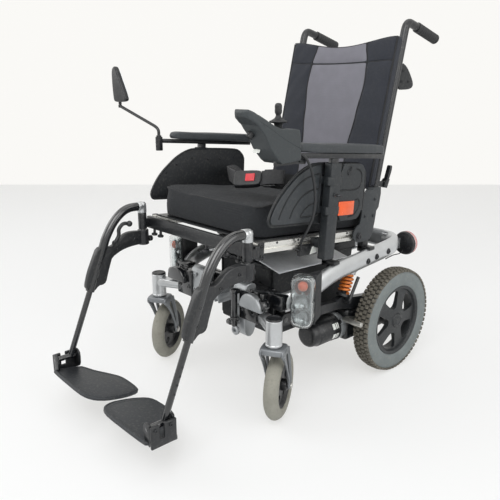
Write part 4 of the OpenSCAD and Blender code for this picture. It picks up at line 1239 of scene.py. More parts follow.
@dataclass
class BackCushion:
    """The back cushion: dark cover, grey centre panel, seams and piping."""
    half: float = 213.0
    height: float = 460.0
    thick: float = 23.0
    seam_z: float = 390.0
    body: str = "backrest"

    def panel(self, z: float) -> float:
        """Half width of the grey panel at a height."""
        return ramp(z, ((0, 93), (120, 96), (220, 108), (320, 119), (390, 114), (440, 101), (470, 95)))

    def rim(self, x: float) -> float:
        """Height of the top edge across the cushion."""
        return self.height - 23 * math.cos(min(1.0, abs(x) / 190) * math.pi / 2) ** 1.4

    def dip(self, x: float, z: float) -> float:
        """How far the cross seam and the cloth beside it hang below a straight line."""
        return 7 * math.cos(math.pi * x / (2 * self.half)) * math.exp(-((z - self.seam_z) / 50) ** 2)

    def sheet(self, name: str, finish: Finish, left: Callable[[float], float], right: Callable[[float],
            float], low: float, high: float | None, depth: float, columns: int,
            rows: int) -> bpy.types.Object:
        """Makes one sewn panel as a closed, puffed pad between its seams.

        Args:
            name: Name of the piece.
            finish: Its fabric.
            left: X of its left seam at a height.
            right: X of its right seam at a height.
            low: Height of the lower seam.
            high: Height of the upper seam, or None at the cushion's top.
            depth: How far it stands out of its seams.
            columns: Columns of the mesh.
            rows: Rows of the mesh.

        Returns:
            The piece.
        """
        part = bmesh.new()
        bmesh.ops.create_grid(part, x_segments=columns, y_segments=rows, size=0.5)
        for vertex in part.verts:
            u, v = vertex.co.x + 0.5, vertex.co.y + 0.5
            guess = (left(low) + right(low)) / 2
            for _ in range(2):
                roof = self.rim(guess) if high is None else high
                z = low + (roof - low) * v
                guess = left(z) + (right(z) - left(z)) * u
            edge = min(u, 1 - u) * abs(right(z) - left(z))
            ends = min(v, 1 - v) * (roof - low)
            puff = (1 - math.exp(-edge / 3.5)) * (1 - math.exp(-ends / 3.5))
            crease = 3.0 * math.sin(z / 13 + abs(guess) / 9) * math.exp(-edge /
                40) if finish is BACK_DARK else 0.0
            vertex.co = (guess, 2.3 - depth * puff + crease * puff, z - self.dip(guess, z))
        bmesh.ops.solidify(part, geom=list(part.faces), thickness=-3.0)
        shape = Shape(RECLINED)
        shape.add(part)
        made = shape.piece(name, finish, self.body, "back_fabric", sharp=80, levels=1)
        turn_back = RECLINED.inverted()

        def held(point: Vector) -> float:
            """Holds the seams."""
            local = turn_back @ (point / MM)
            roof = self.rim(local.x) if high is None else high
            z = local.z + self.dip(local.x, local.z)
            near = min(local.x - left(z), right(z) - local.x, z - low, roof - z)
            return 1.0 if near < 4 else 0.0

        swell(made, held, 3.5, 0.004, 8)
        return made

    def build(self) -> None:
        """Builds the core, the panels, seams and side boxings."""
        outline = [(-self.half + 12, 1), (self.half - 12, 1), (self.half, 15)]
        top = [(x, self.rim(x)) for x in range(int(self.half), -int(self.half) - 1, -18)]
        outline += [(self.half, self.rim(self.half) - 8)] + [(x * 0.985, z) for x, z in top]
        outline += [(-self.half, self.rim(self.half) - 8), (-self.half, 15)]
        core = Shape(RECLINED)
        core.plate(outline, 2.5, self.thick, Plane.Y, 3, 3)
        inner = [(x * 0.86, 4 + z * 0.985) for x, z in outline]
        core.plate(inner, self.thick - 3, 40, Plane.Y, 6, 3)
        body = core.piece("back_core", BACK_DARK, self.body, "back_fabric", ["back_cushion"])

        def side(z: float) -> float:
            """X of the outer piping."""
            return self.half - 5

        low = 6.0
        self.sheet("back_panel_lower", BACK_GREY, lambda z: -self.panel(z),
            self.panel, low, self.seam_z, 3.2, 18, 34)
        self.sheet("back_panel_upper", BACK_GREY, lambda z: -self.panel(z),
            self.panel, self.seam_z, None, 3.2, 18, 7)
        self.sheet("back_wing_left", BACK_DARK, self.panel, side, low, self.seam_z, 4.0, 12, 42)
        self.sheet("back_wing_right", BACK_DARK, lambda z: -side(z), lambda z: -self.panel(z),
            low, self.seam_z, 4.0, 12, 42)
        self.sheet("back_head_left", BACK_DARK, self.panel, side, self.seam_z, None, 4.0, 12, 8)
        self.sheet("back_head_right", BACK_DARK, lambda z: -side(z), lambda z: -self.panel(z),
            self.seam_z, None, 4.0, 12, 8)
        seams = Shape(RECLINED)
        for s in (1, -1):
            seams.tube([(s * self.panel(z), 2.2, z) for z in range(6, 440, 12)] + [(s * self.panel(445),
                2.2, self.rim(85) - 3)], 1.5, 8)
            seams.tube(rounded([(s * (self.half - 4), 2.4, 8), (s * (self.half - 4), 2.4, 240),
                (s * (self.half - 4), 2.4, self.rim(self.half) - 4)], 30), 2.2, 8)
        seams.tube([(x, 2.4, self.seam_z - self.dip(x, self.seam_z)) for x in range(-208, 209, 16)], 1.5, 8)
        seams.tube([(x, 2.8, self.rim(x) - 1.5) for x in range(-208, 209, 13)], 1.8, 8)
        seams.piece("back_seams", PIPING, self.body, "back_fabric")


@dataclass
class BackFrame(Sided):
    """Back cane with its push grip, brackets and clamp lever on one side."""
    cane_x: float = 205.0
    cane_y: float = 36.5
    top: float = 466.0

    @property
    def body(self) -> str:
        """CAD body of the back."""
        return "backrest"

    def build(self) -> None:
        """Builds the cane, brackets, grip, shield and lever."""
        x, y = self.cane_x, self.cane_y
        cane = Shape(RECLINED)
        cane.tube(rounded([(x, y, -52), (x, y, 200), (x, y, self.top + 47), (x, y + 46, self.top + 47),
            (x, y + 172, self.top + 45)], 30, 8), 12, 24)
        cane.block((x - 4, y + 6, 15), (x + 4, y + 51, 33), 2)
        cane.rod((x - 10, y + 45, 24), (x + 10, y + 45, 24), 3)
        self.dress(cane, "back_cane_tube", BLACK_PAINT, "black_frame", "back_cane")
        shield = Shape(RECLINED)
        shield.plate(soft_outline([(y + 8, 310), (y + 87, 330), (y + 95, 350), (y + 47, 388),
            (y + 8, 396)]), x - 5, x + 5, Plane.X, 2.5, 3)
        for dy, z in ((26, 340), (26, 372), (62, 348)):
            shield.screw((x + 4.8, y + dy, z), (1, 0, 0), 4, 2.6)
        self.dress(shield, "back_shield", BOX_PLASTIC, "black_frame")
        bracket = Shape(TILTED)
        bracket.plate(soft_outline([(-20, 16), (-16, -8), (8, -18), (34, -16), (72, -10), (84, 60),
            (84, 140), (12, 140), (12, 40), (-8, 30)], 1), 238.6, 244.6, Plane.X, 1)
        bracket.plate([(60, 118), (88, 118), (92, 70), (112, 64), (126, 80), (131, 122), (128, 142),
            (60, 142)], 216, 222, Plane.X, 1)
        bracket.rod((217, 70, 130), (242, 70, 130), 9)
        for py, pz in ((70, 110), (28, 60), (70, 60)):
            bracket.screw((244.4, py, pz), (1, 0, 0), 4.4, 3)
        self.dress(bracket, "back_bracket", GUARD_PLASTIC, "black_frame")
        pivot = Shape(TILTED)
        pivot.lathe([(6.2, 0), (13, 0), (13, 1.6), (6.2, 2.2)], (244.7, 8, 0), (1, 0, 0), 32, closed=True)
        pivot.screw((245.2, 8, 0), (1, 0, 0), 8, 5, 0)
        self.dress(pivot, "back_pivot_cover", BOLT_STEEL, "black_frame")
        grip = Shape(RECLINED)
        start, end = Vector((x, y + 58, 512)), Vector((x, y + 172, 508))
        way = (end - start).normalized()
        ribs = [(0, 0), (14, 0), (15.5, 2), (15.5, 8), (14.2, 10)]
        for i in range(9):
            at = 14 + i * 10
            ribs += [(14.2, at), (15.4, at + 2), (15.4, at + 6), (14.2, at + 8)]
        ribs += [(15.5, 106), (15.5, 112), (13, 114), (0, 114)]
        grip.lathe(ribs, start, way, 36)
        self.dress(grip, "push_grip", GRIP_RUBBER, "black_frame")
        self.lever()

    def lever(self) -> None:
        """Makes the clamp lever at the foot of the cane."""
        x, y, z = self.cane_x, self.cane_y + 45, 24
        lever = Shape(RECLINED)
        for low in (x - 9.5, x + 4.5):
            lever.plate([(y - 8, z - 8), (y + 8, z - 9), (y + 14, z + 20), (y + 3, z + 20), (y - 8, z + 6)],
                low, low + 5, Plane.X, 1)
        lever.plate(soft_outline([(y + 3, z + 12.5), (y + 12, z + 12.5), (y + 19, z + 48), (y + 17, z + 63),
            (y + 9, z + 63), (y + 7, z + 40)]), x - 8, x + 8, Plane.X, 3, 3)
        self.dress(lever, "back_clamp_lever", DARK_PLASTIC, "box_plastic", "back_lever", part="back_lock")


@dataclass
class LapBelt:
    """The lap belt: two webbing straps, adjuster, buckle and red button."""
    body: str = "chassis"
    at: tuple[float, float, float] = (108, -484, 657)

    @property
    def place(self) -> Matrix:
        """Frame of the buckle."""
        return turned("Z", 35, self.at) @ turned("Y", -4) @ turned("X", 48)

    def build(self) -> None:
        """Builds the belt."""
        band = [(-1.1, -22), (1.1, -22), (1.1, 22), (-1.1, 22)]
        straps = Shape()
        straps.tube(rounded([(241, -168, 575), (230, -230, 626), (200, -330, 640), (170, -420, 650),
            (142, -455, 660)], 40, 8), band, tilt=20)
        straps.tube(rounded([(-240, -168, 572), (-228, -230, 622), (-150, -340, 634), (-40, -414, 642),
            (54, -478, 650)], 40, 8), band, tilt=20)
        straps.piece("belt_straps", WEBBING, self.body, "webbing", ["lap_belt"])
        buckle = Shape(self.place)
        buckle.plate(soft_outline([(-38, -20), (-30, -24), (20, -24), (38, -20), (38, 20), (20, 24),
            (-30, 24), (-38, 20)], 1), -9, 9, Plane.Z, 3.5, 3)
        slot = Shape(self.place)
        slot.block((-6, -12.1, 2), (20, 12.1, 12), 0)
        buckle.combine(slot)
        buckle.piece("belt_buckle_case", DARK_PLASTIC, self.body, "box_plastic", ["belt_buckle"], bevel=0.8)
        button = Shape(self.place)
        button.block((-5.8, -11.9, 4.6), (19.8, 11.9, 10.4), 1.6, 3)
        button.piece("belt_release_button", BUTTON_RED, "belt_release", "button_red", ["belt_button"])
        adjuster = Shape(self.place)
        for x in (46, 58, 70):
            adjuster.block((x, -27, -4), (x + 5, 27, 4), 1.8)
        for y in (-27, 22):
            adjuster.block((44, y, -4), (77, y + 5, 4), 1.8)
        adjuster.piece("belt_adjuster", DARK_PLASTIC, self.body, "webbing")
        loops = Shape(self.place)
        loops.tube(rounded([(36, 0, 3), (60, 0, 7), (96, 0, 5), (100, 0, -2), (60, 0, -4), (38, 0, -2)],
            8, 4), band, tilt=90)
        loops.piece("belt_loop", WEBBING, self.body, "webbing")


# ---- Seat, guards and arms ----

@dataclass
class SeatFrame:
    """Aluminium rails, crossbars, posts and legrest receivers."""
    rail: float = 225.0
    receiver: float = 240.0
    body: str = "chassis"

    def build(self) -> None:
        """Builds the frame of the seat."""
        rails = Shape(TILTED)
        section = [(-12, -10), (12, -10), (12, 0), (6, 0), (6, 8), (12, 8), (12, 18), (-12, 18), (-12, 8),
            (-6, 8), (-6, 0), (-12, 0)]
        for s in (-1, 1):
            rails.plate([(s * self.rail + x, z) for x, z in section], -400, 62, Plane.Y, 0.7)
        rails.piece("seat_rails", ANODISED, self.body, "rail", ["seat_frame"])
        black = Shape(TILTED)
        black.block((-247, -415, -22), (247, -400.2, 14), 2)
        black.block((-212.8, 28, -8), (212.8, 48, 14), 2)
        for x in (-212, -179, 44, 180):
            black.rod((x, -408, -34), (x, -408, -21), 4)
            black.lathe([(0, 0), (7, 0), (9, 1.5), (9, 6.5), (7, 8), (0, 8)], (x, -408, -42), (0, 0, 1), 14)
        for s in (-1, 1):
            x0, x1 = (237.2, 243) if s > 0 else (-243, -237.2)
            black.block((x0, -398, -26), (x1, -380, 20), 1.5)
            for y, z in ((-389, 10), (-389, -16)):
                black.screw((s * 243, y, z), (s, 0, 0), 5, 3)
        for s in (-1, 1):
            black.place = Matrix.Identity(4)
            x = s * self.rail
            black.block((x - 11, -295, 400), (x + 11, -269, 470), 2)
            black.block((x - 11, -130, 412), (x + 11, -104, 456), 2)
            low, high = (214, 262) if s > 0 else (-262, -214)
            black.block((low, -295, 407), (high, -269, 417), 2)
            black.block((low, -130, 421), (high, -104, 431), 2)
            x = s * self.receiver
            black.rod((x, -605, 479), (x, -605, 528), 13, bevel=1.5)
            black.block((x - 7, -605, 482), (x + 7, -584.5, 508), 1.5)
            black.place = TILTED
        black.piece("seat_fittings", BLACK_PAINT, self.body, "black_frame")
        repaint(BLACK_PAINT, "seat_pan")
        plug = Shape(TILTED)
        plug.block((237.2, -252, -30), (250, -182, -1), 2.5, 3)
        plug.rod((243, -252, -14), (243, -264, -10), 5.5, 3.9)
        for y in (-246, -226):
            plug.screw((249.6, y, -9), (1, 0, 0), 4.4, 2.4, 5.6)
        plug.piece("cable_connector", DARK_PLASTIC, self.body, "black_frame")
        label = Shape(TILTED)
        label.plate([(-214, -28), (-186, -24), (-184, -3), (-206, -7)], 250, 250.5, Plane.X, 0)
        label.piece("connector_label", BARE_LABEL, self.body, "black_frame")
        pins = Shape(TILTED)
        for s in (-1, 1):
            pins.rod((s * 236, 8, 0), (s * 249, 8, 0), 6)
            for y in (-330, -250, -40):
                pins.screw((s * 236.4, y, 14), (s, 0, 0), 3.2, 2)
        pins.piece("seat_frame_pins", BOLT_STEEL, self.body, "black_frame")


@dataclass
class SideGuard(Sided):
    """Side guard with its panels, grooves, post, clamp and reflector."""
    plane: float = 259.0
    post: float = 282.0

    def build(self) -> None:
        """Builds the guard of one side."""
        outline = soft_outline([(-377, 62), (-388, 66), (-393, 81), (-382, 106), (-367, 130), (-350, 150),
            (-330, 168), (-308, 187), (-284, 202), (-262, 212), (-237, 219), (-150, 220.5), (-65, 220),
            (-40, 216), (-20, 200), (-13, 184), (-13, 62)], 1)
        plate = Shape(TILTED)
        plate.plate(outline, self.plane, self.plane + 4, Plane.X, 1.2)
        edge = [(p[0], p[1]) for p in outline]
        plate.tube([(self.plane + 2, y, z) for y, z in edge + edge[:1]], 3.2, 10)
        self.dress(plate, "guard_plate", BOX_PLASTIC, "guard", "side_guard")
        self.front_panel()
        self.rear_panel()
        self.post_parts()

    def front_panel(self) -> None:
        """Makes the front panel with its curved grooves."""
        x = self.plane
        panel = Shape(TILTED)
        panel.plate(soft_outline([(-377, 67), (-386, 71), (-389, 82), (-378, 106), (-364, 127), (-347, 147),
            (-328, 165), (-306, 184), (-282, 199), (-260, 209), (-237, 215), (-209, 216), (-209, 67)], 1),
            x + 4.2, x + 9, Plane.X, 1.6, 3)
        grooves, lines = Shape(TILTED), Shape(TILTED)
        for route in (((-362, 80), (-350, 108), (-322, 148), (-284, 178), (-236, 192), (-216, 193)),
                ((-322, 80), (-308, 110), (-280, 138), (-246, 152), (-216, 155)), ((-283, 82), (-270, 100),
                (-248, 114), (-216, 118)), ((-216, 84), (-216, 196)), ((-283, 82), (-216, 82))):
            grooves.tube(rounded([(x + 9.6, y, z) for y, z in route], 22), 3, 8)
            lines.tube(rounded([(x + 7.6, y, z) for y, z in route], 22), 1.2, 8)
        panel.combine(grooves)
        self.dress(panel, "guard_front_panel", GUARD_PLASTIC, "guard")
        self.dress(lines, "guard_front_lines", PIPING, "guard")

    def rear_panel(self) -> None:
        """Makes the rear panel with its grooves, catch and reflector."""
        x = self.post
        panel = Shape(TILTED)
        panel.plate(soft_outline([(-164.8, 66), (-80, 66), (-66, 74), (-56, 92), (-54, 150), (-56, 200),
            (-62, 214), (-74, 221), (-164.8, 221)], 1), x + 2, x + 9, Plane.X, 2, 3)
        cut, lines = Shape(TILTED), Shape(TILTED)
        for route in (((-160, 150), (-92, 150), (-72, 158), (-66, 176), (-72, 200), (-96, 208)),
                ((-90, 122), (-74, 124), (-68, 112), (-72, 96), (-88, 80), (-116, 76))):
            cut.tube(rounded([(x + 9.6, y, z) for y, z in route], 16), 2.6, 8)
            lines.tube(rounded([(x + 8, y, z) for y, z in route], 16), 1.2, 8)
        panel.combine(cut)
        for z in (90, 190):
            panel.block((self.plane + 3.8, -120, z), (x + 2.2, -104, z + 12), 1)
        self.dress(panel, "guard_rear_panel", REAR_PLASTIC, "guard")
        self.dress(lines, "guard_rear_lines", PIPING, "guard")
        reflector = Shape(TILTED)
        reflector.block((x + 9.2, -162, 82), (x + 13, -96, 120), 1.6, 3)
        reflector.block((x + 12.6, -158, 86), (x + 13.6, -100, 116), 0.5)
        self.dress(reflector, "guard_reflector", REFLECTOR, "lamp")
        catch = Shape(TILTED)
        catch.lathe([(0, 0), (7, 0), (8, 1.2), (7.4, 2.8), (0, 3.2)], (x + 8.4, -126, 198), (1, 0, 0), 32)
        catch.tube(rounded([(x + 11, -126, 199), (x + 13, -120, 206), (x + 12, -122, 214)], 4), 1.6, 8)
        self.dress(catch, "guard_catch", BOLT_STEEL, "guard")

    def post_parts(self) -> None:
        """Makes the hollow post with its two clamps and screws."""
        x = self.post
        post = Shape(TILTED)
        post.block((x - 13, -205, -36), (x + 14, -165, 223), 3, 3)
        hole = Shape(TILTED)
        hole.block((x - 7.1, -198.1, 20), (x + 7.1, -171.9, 230), 0)
        post.combine(hole)
        post.block((237.2, -200, -8), (x - 12.8, -170, 16), 1.5)
        for z in (89, 167):
            post.block((self.plane + 3.8, -214, z), (x - 12.8, -182, z + 18), 1.5)
            post.block((x + 2, -216, z - 2), (x + 15.4, -162, z + 20), 3, 3)
        self.dress(post, "guard_post", REAR_PLASTIC, "guard")
        screws = Shape(TILTED)
        screws.screw((x + 14, -186, 140), (1, 0, 0), 5, 4, 0)
        screws.rod((x + 14, -176, 138), (x + 24, -168, 139), 3.4)
        for y, z in ((-174, 90), (-124, 92)):
            screws.screw((self.plane - 0.2, y, z + 96), (-1, 0, 0), 3.2, 1.6)
        for y, z in ((-340, 150), (-300, 176), (-240, 196), (-60, 200), (-40, 80)):
            screws.screw((self.plane - 0.2, y, z - 6), (-1, 0, 0), 3, 1.6)
        self.dress(screws, "guard_screws", BOLT_STEEL, "guard")


@dataclass
class Armrest(Sided):
    """Armrest bar, rail and pad of one side; the right one carries the mirror."""
    post: float = 282.0
    level: float = 234.5

    @property
    def body(self) -> str:
        """CAD body of the armrest."""
        return "arm" + self.side.tag

    def build(self) -> None:
        """Builds the armrest."""
        x, z = self.post, self.level
        rail = Shape(TILTED)
        rail.block((x - 6.9, -197.9, 60), (x + 6.9, -172.1, z + 0.2), 1.5)
        rail.block((x - 7, -345, z), (x + 7, 28, z + 13), 2)
        if self.side is Side.RIGHT:
            rail.place = Matrix.Identity(4)
            rail.lathe([(5.1, 0), (10.4, 0), (11, 1), (11, 41), (10, 42), (5.1, 42)], (282, -505, 706),
                (0, 0, 1), 36, closed=True)
            rail.screw((292.6, -505, 730), (1, 0, 0), 5, 4)
        self.dress(rail, "arm_rail", BLACK_PAINT, "black_frame", "armrest")
        base = z + 13.2
        pad = Shape(TILTED)
        side_view = [(-323, base + 7), (-312, base + 0.4), (20, base), (36, base - 1), (44, base - 8),
            (51, base - 6), (53, base + 4), (46, base + 14), (30, base + 22), (10, base + 24.4),
            (-290, base + 24.4), (-314, base + 21), (-323, base + 14)]
        pad.plate(soft_outline(side_view, 1), 232, 292, Plane.X, 9, 5)
        corner = Shape(TILTED)
        corner.plate(soft_outline([(232, -323), (292, -323), (292, 53), (232, 53)], 2),
            base - 12, base + 30, Plane.Z, 0)
        pad.combine(corner, "INTERSECT")
        pad.melt(2.6, 5)
        made = self.dress(pad, "arm_pad_foam", PAD_FOAM, "pad", "arm_pad", sharp=80, shape=self.crown)

    def crown(self, mesh: bmesh.types.BMesh) -> None:
        """Gives the pad a slight crown and a hollow near its front."""
        turn_back = TILTED.inverted()
        for vertex in mesh.verts:
            local = turn_back @ vertex.co
            if local.z > self.level + 28:
                across = (local.x - 262) / 30
                local.z += 0.8 * (1 - across * across) - 1.4 * math.exp(-((local.y + 230) / 50) ** 2)
                vertex.co = TILTED @ local


@dataclass
class JoystickModule:
    """Joystick housing with its well, stick, boot, power button and clamp."""
    body: str = "arm_left"
    stick: tuple[float, float, float] = (262, -526, 800)
    button: tuple[float, float, float] = (266, -613, 829.5)

    def build(self) -> None:
        """Builds the joystick module."""
        self.housing()
        self.controls()
        self.clamp()

    def housing(self) -> None:
        """Makes the moulded housing from its side view and its plan."""
        profile = [(-661, 842), (-656, 847), (-648, 848.6), (-640, 845), (-628, 838), (-598, 823),
            (-573, 810), (-552, 802.5), (-504, 800), (-489, 797), (-485, 772), (-483, 724), (-548, 720),
            (-561, 729), (-585, 756), (-605, 789), (-626, 813), (-657, 833)]
        plan = [(235, -478), (301, -478), (301, -618), (298, -638), (291, -651), (281, -660), (268, -664),
            (256, -659), (246, -649), (239, -632), (236, -605), (235, -580)]
        shell = Shape()
        shell.plate(profile, 220, 310, Plane.X, 0)
        across = Shape()
        across.plate(plan, 700, 870, Plane.Z, 0)
        shell.combine(across, "INTERSECT")
        shell.melt(2.0, 7)
        cuts = Shape()
        x, y, z = self.stick
        cuts.lathe([(0, -18), (19, -18), (19, 22), (0, 22)], (x, y, z), (0, 0, 1), 48)
        cuts.rod((266, -610, 823), (266, -618, 840), 8.4, bevel=0)
        cuts.rod((252, -622, 775), (258, -600, 800), 9, bevel=0)
        cuts.tube(rounded([(301, -662, 838), (301.4, -630, 826), (301.4, -596, 808), (301.4, -540, 776),
            (301.4, -486, 752), (296, -482.4, 748), (240, -482.4, 748)], 14), 1.1, 8)
        shell.combine(cuts)
        shell.piece("joystick_shell", JOYSTICK_PLASTIC, self.body, "joystick", ["joystick_housing"],
            sharp=50)
        socket = Shape()
        socket.rod((254, -614, 783), (257.6, -601, 798), 8.7, bevel=0.5)
        socket.piece("joystick_socket", DARK_PLASTIC, self.body, "joystick_dark")
        label = Shape()
        label.block((-11, -1.0, -6), (11, 0.2, 6), 0.3, turn=turned("X", -30, (249, -583.6, 751)))
        label.piece("joystick_label", BARE_LABEL, self.body, "joystick")

    def controls(self) -> None:
        """Makes the gimbal, the stick with its boot, and the power button."""
        x, y, z = self.stick
        ring = Shape()
        ring.lathe([(11, -3.5), (15.4, -3.5), (16, -2.8), (16, 2.8), (15.4, 3.5), (11, 3.5)], (x, y, z - 6),
            (0, 0, 1), 40, closed=True)
        ring.rod((x - 17, y, z - 6), (x - 10.6, y, z - 6), 3.5)
        ring.rod((x + 10.6, y, z - 6), (x + 17, y, z - 6), 3.5)
        ring.piece("gimbal_ring", BLACK_PAINT, "gimbal", "joystick_dark", ["joystick_gimbal"])
        pins = Shape()
        for s in (-1, 1):
            pins.rod((x + s * 16, y, z - 6), (x + s * 22, y, z - 6), 2)
        pins.piece("gimbal_pins", ZINC, self.body, "joystick")
        stick = Shape()
        stick.lathe([(0, -7), (4, -7), (9, -2), (9, 12), (11, 18.4), (20, 20), (21.4, 21.2), (22, 23),
            (21, 24.6), (17, 25.6), (15, 27.4), (12.6, 28), (11, 29.6), (9.6, 30.4), (8, 32.4), (6.2, 36),
            (6.2, 39), (7.6, 41.6), (8.6, 44), (8.8, 48), (8.5, 52), (8.9, 57), (8.4, 61), (7, 64),
            (4, 65.6), (0, 66)], (x, y, z - 6), (0, 0, 1), 48)
        stick.piece("stick_and_boot", GRIP_RUBBER, "stick", "joystick_dark", ["joystick_stick"])
        frame_of = turned("X", -26.6, self.button)
        button = Shape(frame_of)
        button.lathe([(0, -1.9), (6, -1.9), (6, 1.6), (5, 2.4), (0, 2.6)], (0, 0, 0), (0, 0, 1), 36)
        button.piece("power_key_cap", BUTTON_RED, "power_key", "button_red", ["power_button"])
        bezel = Shape(frame_of)
        bezel.lathe([(6.4, -1), (8.6, -1), (8.6, 0.8), (7.6, 1.4), (6.4, 1.2)], (0, 0, 0), (0, 0, 1),
            36, closed=True)
        bezel.piece("power_key_bezel", DARK_PLASTIC, self.body, "joystick_dark")

    def clamp(self) -> None:
        """Makes the bars between housing and arm rail."""
        clamp = Shape()
        clamp.block((276, -556, 714), (288, -490, 726), 2)
        clamp.place = TILTED
        clamp.block((275, -392, 220.5), (289, -300, 234.3), 2)
        clamp.screw((289, -360, 228), (1, 0, 0), 4.5, 3.5)
        clamp.screw((289, -320, 228), (1, 0, 0), 4.5, 3.5)
        clamp.piece("joystick_clamp", BLACK_PAINT, self.body, "joystick")


@dataclass
class Mirror:
    """Mirror on its curved arm in front of the right armrest."""
    foot: tuple[float, float, float] = (-282, -505, 748)
    joint: tuple[float, float, float] = (-443, -541, 838)

    def build(self) -> None:
        """Builds arm, shell and glass."""
        fx, fy, fz = self.foot
        jx, jy, jz = self.joint
        arm = Shape()
        arm.rod((fx, fy, 714.4), (fx, fy, 754), 5)
        arm.lathe([(0, 0), (8, 0), (8, 3), (7, 4), (0, 4)], (fx, fy, fz + 0.4), (0, 0, 1), 28)
        arm.tube(rounded([(fx, fy, fz + 2), (fx, fy, fz + 26), self.joint], 22, 8), 4.8, 16)
        arm.lathe([(0, -5), (5, -5), (6, -3.6), (6, 3), (5, 4), (0, 4)], self.joint, (0, 0, 1), 28)
        arm.piece("mirror_stay", BLACK_PAINT, "mirror_arm", "black_frame", ["mirror_arm"])
        outline = soft_outline([(-466, 858), (-470, 900), (-470, 944), (-464, 956), (-454, 961),
            (-444, 956), (-420, 914), (-396, 872), (-391, 860), (-398, 852), (-458, 850)], 2)
        head = Shape()
        head.plate(outline, -552, -536, Plane.Y, 5, 4)
        head.rod((jx, jy, jz + 4.4), (jx, jy, jz + 18), 5)
        head.piece("mirror_shell", DARK_PLASTIC, "mirror_head", "mirror_shell", ["mirror_head"])
        glass = Shape()
        glass.plate([((p[0] + 434) * 0.88 - 434, (p[1] - 900) * 0.88 + 900) for p in outline],
            -536.6, -535.4, Plane.Y, 0.3)
        glass.piece("mirror_glass_pane", MIRROR_GLASS, "mirror_head", "mirror_shell")


# ---- Legrests ----

